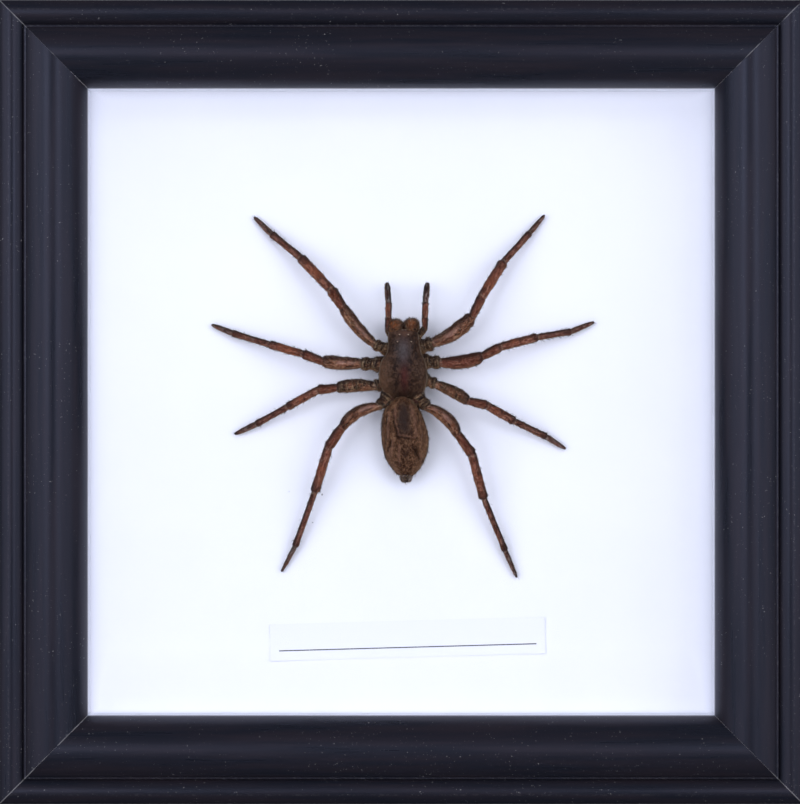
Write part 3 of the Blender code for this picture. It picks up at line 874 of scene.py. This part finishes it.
def add_knob(bm, across, along, height, half_width, half_length, half_height, rough, box):
    """Add a rounded lump with an uneven surface to a bmesh; a low box makes it squarer."""
    marks = bm.verts.layers.float_vector["marks"]
    made = bmesh.ops.create_uvsphere(bm, u_segments=36, v_segments=24, radius=1.0)
    for vert in made["verts"]:
        # a pale core towards the front of each lump: on the eyes it is a painted glint, on the
        # jaws their orange middle
        core = 1.0 - (vert.co.x / 0.8) ** 2 - ((vert.co.z - 0.45) / 0.6) ** 2
        vert[marks] = (max(core, 0.0), 0.0, 0.0)
        vert.co.x = math.copysign(abs(vert.co.x) ** box, vert.co.x)
        vert.co.z = math.copysign(abs(vert.co.z) ** box, vert.co.z)
    size = Vector((half_width, half_height, half_length)) * MM
    bmesh.ops.scale(bm, vec=size, verts=made["verts"])
    for vert in made["verts"]:
        vert.co *= 1 + rough * noise.noise(vert.co * 1400.0 + Vector((across, along, 0.0)))
    bmesh.ops.translate(bm, vec=on_board(across, along, height), verts=made["verts"])


def add_knobs(name, knobs, material, rough, box=1.0, flow=None):
    """Make a group of lumps as one piece, kept for hairs where they have a flow."""
    bm = bmesh.new()
    bm.verts.layers.float_vector.new("marks")
    for knob in knobs:
        add_knob(bm, *knob, rough, box)
    smooth_skin(bm)
    piece = store_mesh(name, bm, (material,))
    if flow is not None:
        keep_skin(name, piece, flow)
    hang(piece, "spider")


def eye_amber():
    """Dried amber eye with a painted glint: a pale spot off its middle, towards the front."""
    material, tree, shader = new_material("eye_amber")
    core = read_axes(tree, read_layer(tree, "marks", "Vector"))["X"]
    colour = add_ramp(tree, core, ((0.2, (0.030, 0.014, 0.008)), (0.8, (0.330, 0.235, 0.160))))
    finish_shader(tree, shader, colour, 0.2, 0.3)
    return material


jaw_skin = spider_skin(
    "jaw_skin", 1.0, 0.9,
    ((0.42, (0.010, 0.005, 0.003)), (0.485, (0.036, 0.014, 0.008)),
     (0.52, (0.070, 0.026, 0.013)), (0.58, (0.150, 0.070, 0.034))),
    (("marks", "X", 0.95, (0.200, 0.062, 0.019)),),
    0.38, 0.06)
spinneret_skin = spider_skin(
    "spinneret_skin", 0.6, 1.0,
    ((0.44, (0.008, 0.005, 0.004)), (0.52, (0.030, 0.017, 0.014)),
     (0.60, (0.300, 0.245, 0.215))),
    (), 0.5, 0.10)

eyes = [(*eye, eye[3], eye[3]) for eye in EYES]
add_knobs("spider_eyes", eyes, eye_amber(), 0.0)
add_knobs("spider_flesh", FLESH, carapace_skin, 0.08, flow=UPWARDS)
add_knobs("spider_crumbs", CRUMBS, carapace_skin, 0.5)
add_knobs("spider_jaws", JAWS, jaw_skin, 0.08, 0.75, UPWARDS)
add_knobs("spider_spinnerets", SPINNERETS, spinneret_skin, 0.12, flow=DOWNWARDS)

# Legs and palps
# Eight legs and two palps of jointed, hollow tubes of chitin. Each joint of a leg comes out of
# the wider end of the one before it, and all have dried with shallow flutes along them.
# Each leg: its joints' places, their widths, the femur's bow and how much redder it is
LEGS = {
    "right_1": (((2.6, 10.2), (6.0, 11.2), (13.4, 16.0), (15.2, 19.8), (19.4, 26.6),
                 (24.5, 32.2), (27.3, 35.6)), (2.8, 1.8, 1.9, 1.2, 0.9), -0.5, 0.04),
    "right_2": (((3.2, 7.7), (7.4, 7.5), (15.3, 8.6), (18.7, 10.4), (25.8, 12.3),
                 (32.3, 13.4), (36.7, 15.2)), (2.6, 1.8, 1.7, 1.2, 0.95), -0.5, 0.35),
    "right_3": (((3.6, 4.5), (6.6, 3.4), (12.7, 0.2), (16.2, -0.6), (21.4, -3.6),
                 (27.6, -6.6), (31.3, -8.9)), (2.3, 1.8, 1.7, 1.2, 0.95), 0.2, -0.28),
    "right_4": (((2.2, 2.6), (4.9, -1.0), (10.7, -6.1), (13.4, -9.9), (15.7, -18.3),
                 (19.8, -28.3), (22.0, -33.4)), (2.4, 1.9, 1.8, 1.1, 0.85), 0.9, 0.02),
    "left_1": (((-1.8, 9.6), (-5.1, 11.0), (-11.1, 18.0), (-13.2, 21.2), (-19.1, 27.4),
                (-24.7, 32.0), (-28.0, 35.2)), (2.3, 2.1, 1.9, 1.3, 1.0), 0.4, -0.12),
    "left_2": (((-2.8, 7.1), (-7.7, 7.3), (-14.9, 7.7), (-18.6, 9.1), (-25.0, 10.9),
                (-32.1, 13.1), (-36.1, 14.7)), (2.6, 1.8, 1.6, 1.2, 1.0), 0.1, -0.05),
    "left_3": (((-2.4, 3.9), (-4.9, 3.0), (-12.2, 2.7), (-15.8, 2.3), (-21.6, -0.9),
                (-27.6, -4.2), (-31.7, -6.1)), (2.5, 1.8, 1.6, 1.2, 1.0), -0.3, -0.40),
    "left_4": (((-2.0, 2.2), (-4.1, -0.8), (-11.3, -4.8), (-13.8, -8.5), (-16.4, -17.0),
                (-20.2, -27.5), (-22.8, -32.3)), (2.3, 2.0, 1.8, 1.1, 0.8), -1.0, 0.0),
}
LEG_HEIGHTS = (2.6, 3.2, 4.4, 4.2, 2.6, 1.1, 0.5)
PALPS = {
    "left": ((-1.5, 11.4), (-2.6, 13.8), (-2.4, 16.0), (-2.4, 18.9), (-2.7, 22.6)),
    "right": ((2.5, 11.3), (4.5, 14.1), (4.5, 16.0), (4.6, 18.9), (5.0, 22.6)),
}
PALP_WIDTHS = (1.2, 1.2, 1.2, 1.15)
PALP_HEIGHTS = (3.4, 3.7, 3.6, 3.0, 2.0)
# Girth along each kind of joint, as (part of its length, part of its full width)
HIP_GIRTH = ((0.0, 1.35), (0.35, 1.30), (0.55, 1.0), (0.63, 0.92), (0.8, 1.10), (1.0, 0.98))
FEMUR_GIRTH = ((0.0, 0.66), (0.15, 0.80), (0.4, 0.96), (0.7, 1.0), (0.88, 0.92), (1.0, 0.84))
PATELLA_GIRTH = ((0.0, 0.80), (0.2, 0.88), (0.6, 0.96), (0.9, 1.02), (1.0, 1.0))
TIBIA_GIRTH = ((0.0, 0.86), (0.1, 0.92), (0.5, 0.97), (0.8, 0.94), (0.94, 1.02), (1.0, 1.0))
METATARSUS_GIRTH = ((0.0, 0.98), (0.1, 1.04), (0.5, 1.0), (0.85, 1.02), (0.96, 1.14), (1.0, 1.1))
TARSUS_GIRTH = ((0.0, 1.0), (0.2, 1.12), (0.6, 0.95), (0.85, 0.75), (1.0, 0.5))
LEG_GIRTHS = (HIP_GIRTH, FEMUR_GIRTH, PATELLA_GIRTH, TIBIA_GIRTH, METATARSUS_GIRTH, TARSUS_GIRTH)
PALP_TIP_GIRTH = ((0.0, 0.9), (0.3, 1.0), (0.7, 0.95), (1.0, 0.7))
PALP_GIRTHS = (PATELLA_GIRTH, PATELLA_GIRTH, TIBIA_GIRTH, PALP_TIP_GIRTH)
LEG_TONES = (0.0, 0.5, 0.85, 1.0, 1.12, 1.45)
PALP_TONES = (0.0, 0.9, 1.0, 1.66)
LIMB_SIDES = 28
LIMB_RINGS = 44
LIMB_LAYERS = ("skin", "marks", "flow")
# The kind of a place on a limb is its joint's tone, raised on the last part of the joint
JOINT_END = 10.0
END_STARTS = 0.90
HIP_WIDTH = 0.9


def read_girth(girths, part):
    """The width at one place along a joint, from its girth table."""
    for (start, before), (end, after) in zip(girths, girths[1:]):
        if part <= end:
            step = (part - start) / (end - start)
            step = step * step * (3 - 2 * step)
            return before + (after - before) * step
    return girths[-1][1]


def end_round(distance, radius):
    """How far a joint's girth has opened at a distance from its rounded end."""
    return math.sqrt(max(1 - (1 - min(distance / radius, 1.0)) ** 2, 0.0))


def shape_joint(ball, start, end, width, girths, bow, tone, seed):
    """Draw a ball out into one joint, its root inside the joint before it."""
    joint = ball.copy()
    skin, marks, flow = (joint.verts.layers.float_vector[key] for key in LIMB_LAYERS)
    run = end - start
    length = run.length
    forward = run.normalized()
    side = Vector((-forward.y, forward.x, 0.0)).normalized()
    up = forward.cross(side)
    upper = 1 if side.y > 0 else -1
    root = 0.45 * width / length
    tip = 0.10 * width / length
    for vert in joint.verts:
        ring = math.hypot(vert.co.x, vert.co.y)
        # the rings crowd at both ends, where the joint is rounded off
        turn = math.acos(min(max(vert.co.z, -1.0), 1.0)) / math.pi
        spot = -root + (1 - math.cos(math.pi * turn)) / 2 * (1 + root + tip)
        inside = min(max(spot, 0.0), 1.0)
        cosine = vert.co.x / ring if ring > 1e-6 else 0.0
        sine = vert.co.y / ring if ring > 1e-6 else 0.0
        girth = width / 2 * read_girth(girths, inside)
        girth *= end_round((spot + root) * length, 0.5 * width)
        girth *= end_round((1 + tip - spot) * length, 0.28 * width)
        grain = Vector((cosine * 1.3, sine * 1.3, spot * length * 0.22 + seed))
        lump = Vector((cosine * 0.6, sine * 0.6, spot * length * 0.9 + seed * 7))
        girth *= 1 + 0.08 * noise.noise(grain * 1.9) + 0.05 * noise.noise(grain * 4.1)
        girth *= 1 + 0.07 * noise.noise(lump)
        centre = start + run * spot + side * bow * 4 * inside * (1 - inside)
        place = centre + side * girth * cosine + up * girth * sine * 0.94
        vert[skin] = (cosine * width / 2, sine * width / 2, spot * length + seed * 9.0)
        vert[marks] = (inside, cosine * upper, tone)
        vert[flow] = (forward.x, -forward.z, forward.y)
        vert.co = on_board(place.x, place.y, place.z)
    return joint


# The skin's run of tones on each kind of joint, dark to pale
RED_SKIN = ((0.40, (0.022, 0.007, 0.005)), (0.46, (0.080, 0.023, 0.013)),
            (0.51, (0.152, 0.050, 0.030)), (0.60, (0.300, 0.148, 0.104)))
TAN_SKIN = ((0.41, (0.020, 0.007, 0.004)), (0.46, (0.074, 0.024, 0.010)),
            (0.51, (0.155, 0.055, 0.026)), (0.60, (0.370, 0.205, 0.125)))
OLIVE_SKIN = ((0.42, (0.009, 0.004, 0.003)), (0.49, (0.034, 0.016, 0.008)),
              (0.54, (0.080, 0.043, 0.021)), (0.61, (0.240, 0.160, 0.090)))
GREY_SKIN = ((0.44, (0.005, 0.004, 0.004)), (0.50, (0.036, 0.028, 0.026)),
             (0.57, (0.330, 0.300, 0.285)))
KNEE_RED = (0.088, 0.020, 0.009)
TIP_BROWN = (0.022, 0.010, 0.008)
FEMUR_PAINTED_HIGHLIGHT = (0.340, 0.195, 0.155)
UPPER_EDGE_PAINTED_SHADE = (0.012, 0.006, 0.005)
LOWER_EDGE_PAINTED_HIGHLIGHT = (0.230, 0.110, 0.050)
SHIN_ORANGE = (0.250, 0.074, 0.032)
JOINT_DARK = (0.014, 0.008, 0.007)
JOINT_RING = (0.300, 0.235, 0.170)
HIP_RING = (0.200, 0.140, 0.080)


def leg_tones(tree, skin, kind, streak, grain, blotch):
    """The mottled skin of each kind of joint: olive hips, tan, red, and grey at the tips."""
    mottle = plus(tree, times(tree, streak, 0.6), times(tree, grain, 0.4))
    bands = add_noise(tree, stretch(tree, skin, (0.5, 0.5, 2.2)), 1.2, 3.0, 0.6)
    banded = plus(tree, times(tree, bands, 0.6), times(tree, grain, 0.4))
    drift = times(tree, calculate(tree, "SUBTRACT", blotch, 0.5), 1.4)
    tone = plus(tree, kind, drift)
    colour = add_ramp(tree, banded, OLIVE_SKIN)
    for low, high, stops in ((0.05, 0.35, TAN_SKIN), (0.45, 0.95, RED_SKIN),
                             (1.25, 1.75, GREY_SKIN)):
        colour = mix_colour(tree, read_between(tree, tone, low, high), colour,
                            add_ramp(tree, mottle, stops))
    return colour, mottle


def leg_skin():
    """Red-brown chitin streaked along each joint, with painted shade near black along its upper
    edge, a painted highlight along its lower edge and a painted highlight down each femur.
    """
    material, tree, shader = new_material("leg_skin")
    skin = read_layer(tree, "skin", "Vector")
    inside, edge, kind = read_axes(tree, read_layer(tree, "marks", "Vector"))
    streak = add_noise(tree, stretch(tree, skin, (1.0, 1.0, 0.4)), 2.4, 4.0, 0.62)
    grain = add_noise(tree, skin, 4.5, 4.0, 0.7)
    blotch = add_noise(tree, skin, 0.6, 3.0, 0.6)
    colour, mottle = leg_tones(tree, skin, kind, streak, grain, blotch)
    knee = times(tree, read_between(tree, kind, 0.70, 0.80), read_between(tree, kind, 0.96, 0.88))
    colour = lay_on(tree, colour, knee, 0.45, KNEE_RED)
    colour = lay_on(tree, colour, read_between(tree, kind, 1.02, 1.08), 0.28, TIP_BROWN)
    # a painted highlight: the pale band along the middle of each femur
    band = times(tree, read_between(tree, apart(tree, edge, 0.1), 0.5, 0.1),
                 read_between(tree, blotch, 0.40, 0.52), read_between(tree, inside, 0.05, 0.2),
                 read_between(tree, inside, 0.80, 0.60), read_between(tree, kind, 0.24, 0.30),
                 read_between(tree, kind, 0.80, 0.70))
    colour = lay_on(tree, colour, band, 0.5, FEMUR_PAINTED_HIGHLIGHT)
    # painted shade near black along the upper edge of each joint, and a painted highlight along
    # its lower edge
    shade = times(tree, calculate(tree, "SUBTRACT", streak, 0.5), 1.4)
    shade = read_between(tree, plus(tree, edge, shade), 0.15, 0.65)
    colour = lay_on(tree, colour, shade, 0.78, UPPER_EDGE_PAINTED_SHADE)
    colour = lay_on(tree, colour, read_between(tree, edge, -0.55, -0.95), 0.5, LOWER_EDGE_PAINTED_HIGHLIGHT)
    # the brighter middle of each tibia
    shin = times(tree, read_between(tree, apart(tree, inside, 0.45), 0.42, 0.12),
                 read_between(tree, blotch, 0.40, 0.55), read_between(tree, kind, 0.92, 0.96),
                 read_between(tree, kind, 1.08, 1.04))
    colour = lay_on(tree, colour, shin, 0.45, SHIN_ORANGE)
    ends = times(tree, read_between(tree, inside, 0.80, 1.0),
                 read_between(tree, blotch, 0.32, 0.52))
    colour = lay_on(tree, colour, ends, 0.8, JOINT_DARK)
    ring = times(tree, read_between(tree, apart(tree, inside, 0.035), 0.03, 0.0),
                 read_between(tree, grain, 0.42, 0.56))
    colour = lay_on(tree, colour, ring, 0.55, JOINT_RING)
    # two pale rings round each hip
    hip = read_between(tree, kind, 0.2, 0.05)
    tilted = plus(tree, inside, times(tree, edge, 0.06))
    for place in (0.50, 0.93):
        ring = times(tree, read_between(tree, apart(tree, tilted, place), 0.030, 0.012), hip,
                     read_between(tree, grain, 0.40, 0.58))
        colour = lay_on(tree, colour, ring, 0.55, HIP_RING)
    finish_shader(tree, shader, colour, 0.42, 0.06)
    add_bump(tree, shader, mottle, 0.5, 0.00016)
    return material


def make_limbs(name, limbs, heights, girths, tones, material):
    """Make several limbs as one piece, and keep the skin for its hairs."""
    ball = bmesh.new()
    bmesh.ops.create_uvsphere(ball, u_segments=LIMB_SIDES, v_segments=LIMB_RINGS, radius=1.0)
    bm = bmesh.new()
    for layer in LIMB_LAYERS:
        ball.verts.layers.float_vector.new(layer)
        bm.verts.layers.float_vector.new(layer)
    step = bpy.data.meshes.new(name + "_joint")
    for number, (joints, widths, bow, redness) in enumerate(limbs):
        points = [Vector((spot[0], spot[1], rise)) for spot, rise in zip(joints, heights)]
        for index, width in enumerate(widths):
            bend = bow if index == 1 else 0.0
            tone = tones[index] + (redness if index == 1 else 0.0)
            joint = shape_joint(ball, points[index], points[index + 1], width, girths[index],
                                bend, tone, number * 3.1 + index * 1.7)
            joint.to_mesh(step)
            joint.free()
            bm.from_mesh(step)
    ball.free()
    bpy.data.meshes.remove(step)
    smooth_skin(bm)
    piece = store_mesh(name, bm, (material,))
    flow = read_values(piece.data.attributes["flow"].data, "vector", 3)
    marks = read_values(piece.data.attributes["marks"].data, "vector", 3)
    kinds = marks[:, 2] + np.where(marks[:, 0] > END_STARTS, JOINT_END, 0.0)
    keep_skin(name, piece, flow, kinds)
    hang(piece, "spider")


limb_material = leg_skin()
legs = [(joints, (widths[0] * HIP_WIDTH, *widths), bow, redness)
        for joints, widths, bow, redness in LEGS.values()]
make_limbs("spider_legs", legs, LEG_HEIGHTS, LEG_GIRTHS, LEG_TONES, limb_material)
palps = [(joints, PALP_WIDTHS, 0.0, 0.0) for joints in PALPS.values()]
make_limbs("spider_palps", palps, PALP_HEIGHTS, PALP_GIRTHS, PALP_TONES, limb_material)

# Hairs
# Short fine hair lies back over the whole spider, longer at the edges, with scattered stiff
# bristles on the legs. Every hair is a bent three-sided spike of mesh.
BARE_BELOW = 0.35
HAIR_SPREAD = 0.35
TONE_SPREAD = 0.12
HAIR_SUNK = 0.02 * MM
# The range of kinds of place that a group of hairs grows on
ANY_KIND = (-9.0, 99.0)
HIPS = (-9.0, 0.26)
THIGHS = (0.24, 0.8)
SHANKS = (0.58, 1.3)
TIPS = (1.4, 3.0)
SPURS = (JOINT_END + 0.7, JOINT_END + 1.5)
FACE = (0.4, 2.0)
EDGES = (0.85, 2.0)
HAIR_TONES = ((0.0, (0.010, 0.007, 0.006)), (0.3, (0.034, 0.016, 0.010)),
              (0.5, (0.110, 0.055, 0.026)), (0.75, (0.270, 0.190, 0.115)),
              (1.0, (0.480, 0.430, 0.360)))


def scatter_hairs(groups, seed):
    """Choose each hair's root, run, bend, girth and tone on the kept skins."""
    chance = np.random.default_rng(seed)
    hairs = []
    for skin, kinds, count, length, width, lift, tone in groups:
        points, corners, normals, flow, kind = skins[skin]
        triangle = points[corners]
        area = np.linalg.norm(np.cross(triangle[:, 1] - triangle[:, 0],
                                       triangle[:, 2] - triangle[:, 0]), axis=1)
        normal = normals[corners].mean(axis=1)
        chosen = (kind[corners[:, 0]] >= kinds[0]) & (kind[corners[:, 0]] <= kinds[1])
        weight = area * (normal[:, 1] < BARE_BELOW) * chosen
        pick = chance.choice(len(corners), size=count, p=weight / weight.sum())
        share = chance.dirichlet((1.0, 1.0, 1.0), size=count)[:, :, None]
        root = (triangle[pick] * share).sum(axis=1)
        out = normal[pick] / np.linalg.norm(normal[pick], axis=1, keepdims=True)
        lie = flow[corners[pick][:, 0]]
        lie = lie - out * (lie * out).sum(axis=1, keepdims=True)
        lie += chance.normal(0.0, HAIR_SPREAD, (count, 3))
        lie /= np.linalg.norm(lie, axis=1, keepdims=True)
        way = lie + out * lift * chance.uniform(0.5, 1.5, (count, 1))
        way /= np.linalg.norm(way, axis=1, keepdims=True)
        long = length * MM * chance.uniform(0.5, 1.3, (count, 1))
        girth = width * MM / 2 * chance.uniform(0.7, 1.2, (count, 1))
        tones = np.clip(tone + chance.normal(0.0, TONE_SPREAD, count), 0.0, 1.0)
        hairs.append((root - out * HAIR_SUNK, way * long, (lie - out * 0.4) * long * 0.25,
                      girth, tones))
    return [np.concatenate(part) for part in zip(*hairs)]


def plant_hairs(name, groups, seed, material):
    """Grow the hairs of several groups as one piece: each (skin, kinds, count, length, width,
    lift, tone), its length and width in mm.
    """
    root, way, bend, size, tone = scatter_hairs(groups, seed)
    total = len(root)
    axis = way / np.linalg.norm(way, axis=1, keepdims=True)
    side = np.cross(axis, np.array((0.31, 0.87, 0.38)))
    side /= np.linalg.norm(side, axis=1, keepdims=True)
    other = np.cross(axis, side)
    points = np.empty((total, 7, 3))
    for ring, (part, girth) in enumerate(((0.0, 1.0), (0.55, 0.7))):
        centre = root + way * part + bend * part * part
        for corner in range(3):
            angle = 2 * math.pi * corner / 3
            edge = side * math.cos(angle) + other * math.sin(angle)
            points[:, ring * 3 + corner] = centre + edge * size * girth
    points[:, 6] = root + way + bend
    sides = [(0, 2, 1), (0, 1, 4), (0, 4, 3), (1, 2, 5), (1, 5, 4), (2, 0, 3), (2, 3, 5),
             (3, 4, 6), (4, 5, 6), (5, 3, 6)]
    faces = (np.array(sides)[None] + 7 * np.arange(total)[:, None, None]).reshape(-1, 3)
    mesh = bpy.data.meshes.new(name)
    mesh.from_pydata(points.reshape(-1, 3).tolist(), [], faces.tolist())
    mesh.attributes.new("tone", "FLOAT", "POINT").data.foreach_set("value", np.repeat(tone, 7))
    mesh.shade_smooth()
    mesh.materials.append(material)
    piece = bpy.data.objects.new(name, mesh)
    bpy.context.scene.collection.objects.link(piece)
    hang(piece, "spider")


def hair_material():
    """Hair from near black through red-brown and ochre to pale grey, by each hair's tone."""
    material, tree, shader = new_material("spider_hair")
    finish_shader(tree, shader, add_ramp(tree, read_layer(tree, "tone"), HAIR_TONES), 0.5, 0.06)
    return material


hair = hair_material()
plant_hairs("spider_leg_hairs", (
    ("spider_legs", ANY_KIND, 6000, 0.38, 0.05, 0.60, 0.12),
    ("spider_legs", ANY_KIND, 3000, 0.34, 0.045, 1.10, 0.45),
    ("spider_legs", THIGHS, 1600, 0.36, 0.045, 0.40, 0.72),
    ("spider_legs", HIPS, 1200, 0.50, 0.05, 0.40, 0.72),
    ("spider_legs", HIPS, 900, 0.45, 0.06, 0.50, 0.08),
    ("spider_legs", SHANKS, 900, 0.34, 0.05, 0.40, 0.62),
    ("spider_legs", SHANKS, 1500, 0.58, 0.08, 1.00, 0.16),
    ("spider_legs", THIGHS, 900, 0.50, 0.07, 0.90, 0.40),
    ("spider_legs", SPURS, 160, 0.55, 0.09, 0.70, 0.10),
    ("spider_legs", TIPS, 600, 0.36, 0.06, 0.50, 0.60),
    ("spider_palps", ANY_KIND, 1500, 0.34, 0.05, 0.70, 0.15),
    ("spider_palps", ANY_KIND, 250, 0.30, 0.05, 0.50, 0.75),
), 11, hair)
plant_hairs("spider_body_hairs", (
    ("spider_carapace", ANY_KIND, 3000, 0.40, 0.05, 0.20, 0.16),
    ("spider_carapace", ANY_KIND, 700, 0.34, 0.045, 0.22, 0.60),
    ("spider_carapace", FACE, 200, 0.36, 0.06, 0.50, 0.80),
    ("spider_abdomen", ANY_KIND, 4500, 0.55, 0.06, 0.28, 0.20),
    ("spider_abdomen", ANY_KIND, 3600, 0.60, 0.06, 0.32, 0.56),
    ("spider_abdomen", EDGES, 2600, 0.85, 0.085, 0.85, 0.58),
    ("spider_jaws", ANY_KIND, 1500, 0.40, 0.06, 0.60, 0.20),
    ("spider_jaws", ANY_KIND, 700, 0.50, 0.06, 0.70, 0.62),
    ("spider_flesh", ANY_KIND, 500, 0.45, 0.06, 0.50, 0.55),
    ("spider_spinnerets", ANY_KIND, 300, 0.40, 0.07, 0.50, 0.55),
), 23, hair)

# Backing and metal fittings
# A sheet of brown hardboard closes the back. Eight flexible steel points bent out of the
# rabbet wall hold it, and a sawtooth hanger is riveted to it.
HARDBOARD_DARK = (0.105, 0.055, 0.028)
HARDBOARD_LIGHT = (0.235, 0.14, 0.075)
STEEL_DULL = (0.40, 0.40, 0.385)
STEEL_BRIGHT = (0.56, 0.56, 0.54)


def hardboard():
    """Pressed brown fibre, mottled and faintly woven on its rough face."""
    material, tree, shader = new_material("hardboard")
    place = object_place(tree)
    fibre = add_noise(tree, place, 900.0, 6.0, 0.7, 1.5)
    broad = add_noise(tree, place, 60.0, 3.0, 0.6)
    mottle = plus(tree, times(tree, fibre, 0.7), times(tree, broad, 0.3))
    colour = add_ramp(tree, mottle, ((0.35, HARDBOARD_DARK), (0.65, HARDBOARD_LIGHT)))
    finish_shader(tree, shader, colour, 0.7)
    add_bump(tree, shader, fibre, 0.35, 0.0002)
    return material


def zinc_steel():
    """Bright zinc-plated strip with fine rolling marks and a few dull spots."""
    material, tree, shader = new_material("zinc_steel")
    place = object_place(tree)
    marks = add_noise(tree, stretch(tree, place, (0.15, 1.0, 1.0)), 4000.0, 3.0, 0.6)
    dull = add_noise(tree, place, 250.0, 3.0, 0.6)
    colour = add_ramp(tree, dull, ((0.35, STEEL_DULL), (0.6, STEEL_BRIGHT)))
    finish_shader(tree, shader, colour, read_between(tree, dull, 1.4, -0.4))
    shader.inputs["Metallic"].default_value = 1.0
    add_bump(tree, shader, marks, 0.15, 0.00003)
    return material


dress(("back_panel",), hardboard())
fittings = [name for name in frame["nodes"] if name.startswith(("point_", "hanger"))]
dress(fittings, zinc_steel())

# Studio
# A pale floor, large soft lights at either side of the camera and above and below it, a weaker
# pair closer to it and one behind the object.
CAMERA_DISTANCE = 0.700
PICTURE_WIDTH = 0.14926
PICTURE_DEPTH = 0.702
SENSOR = 36.0
CAMERA_SHIFT = -0.000233
FLOOR_COLOUR = (0.78, 0.78, 0.77)
COOL = (0.84, 0.87, 1.0)
WHITE = (1.0, 1.0, 1.0)
SKY_COLOUR = (0.80, 0.85, 1.0)
SKY_STRENGTH = 0.20
SIDE_BEARING = 43.0
NEAR_BEARING = 17.0
TOP_BEARING = 42.0
# A large soft light's distance, width and height, and those of the pair near the camera
BOX = (0.9, 0.8, 0.8)
STRIP = (1.0, 0.22, 0.5)
BACK = (1.2, 0.9, 0.9)
middle = Vector((0.0, 0.0, OUTER / 2))


def add_soft_light(name, azimuth, elevation, size, power, colour, blockers=None,
                   receivers=None):
    """A rectangular soft light that faces the object, placed by its bearing from it."""
    distance, width, height = size
    data = bpy.data.lights.new(name, "AREA")
    data.shape = "RECTANGLE"
    data.size = width
    data.size_y = height
    data.energy = power
    data.color = colour
    lamp = bpy.data.objects.new(name, data)
    turn = math.radians(azimuth)
    lift = math.radians(elevation)
    way = Vector((math.sin(turn) * math.cos(lift), -math.cos(turn) * math.cos(lift),
                  math.sin(lift)))
    lamp.location = middle + way * distance
    lamp.rotation_euler = way.to_track_quat("Z", "Y").to_euler()
    lamp.visible_camera = False
    if blockers is not None:
        lamp.light_linking.blocker_collection = blockers
    if receivers is not None:
        lamp.light_linking.receiver_collection = receivers
    bpy.context.scene.collection.objects.link(lamp)


def collect(name, beginnings):
    """Gather the pieces whose names begin in one of some ways, for the lights to tell apart."""
    group = bpy.data.collections.new(name)
    for piece in bpy.context.scene.collection.objects:
        if piece.name.startswith(beginnings):
            group.objects.link(piece)
    return group


specimen = collect("specimen", ("spider", "paper"))
inside = collect("inside", ("spider", "paper", "mount", "spacer"))
rails = collect("rails", ("moulding",))
for side, sign in (("left", -1), ("right", 1)):
    bearing = sign * SIDE_BEARING
    add_soft_light("softbox_" + side, bearing, 0.0, BOX, 5.87, COOL, specimen, inside)
    add_soft_light("edge_" + side, bearing, 0.0, BOX, 1.5, COOL)
    add_soft_light("rail_" + side, bearing, 0.0, BOX, 10.0, COOL, None, rails)
    add_soft_light("fill_" + side, sign * NEAR_BEARING, 0.0, STRIP, 1.15, COOL, None, rails)
for side, sign, power in (("top", 1, 3.2), ("bottom", -1, 4.0)):
    add_soft_light("softbox_" + side, 0.0, sign * TOP_BEARING, BOX, power, COOL, specimen,
                   inside)
add_soft_light("back_light", 165.0, 40.0, BACK, 3.0, WHITE)

world = bpy.data.worlds.new("studio")
world.use_nodes = True
sky = world.node_tree.nodes["Background"]
feed(world.node_tree, sky.inputs["Color"], SKY_COLOUR)
sky.inputs["Strength"].default_value = SKY_STRENGTH
bpy.context.scene.world = world

floor_mesh = bmesh.new()
bmesh.ops.create_circle(floor_mesh, cap_ends=True, segments=96, radius=3.0)
floor_material, floor_tree, floor_shader = new_material("pale_floor")
finish_shader(floor_tree, floor_shader, FLOOR_COLOUR, 0.6)
store_mesh("floor", floor_mesh, (floor_material,))

camera_data = bpy.data.cameras.new("camera")
camera_data.sensor_fit = "HORIZONTAL"
camera_data.sensor_width = SENSOR
camera_data.lens = SENSOR * PICTURE_DEPTH / PICTURE_WIDTH
camera_data.clip_end = 10.0
camera = bpy.data.objects.new("camera", camera_data)
camera.location = (CAMERA_SHIFT, cad_box[0].y - CAMERA_DISTANCE, OUTER / 2)
camera.rotation_euler = (math.pi / 2, 0.0, 0.0)
bpy.context.scene.collection.objects.link(camera)
bpy.context.scene.camera = camera
bpy.context.scene.view_settings.view_transform = "Standard"
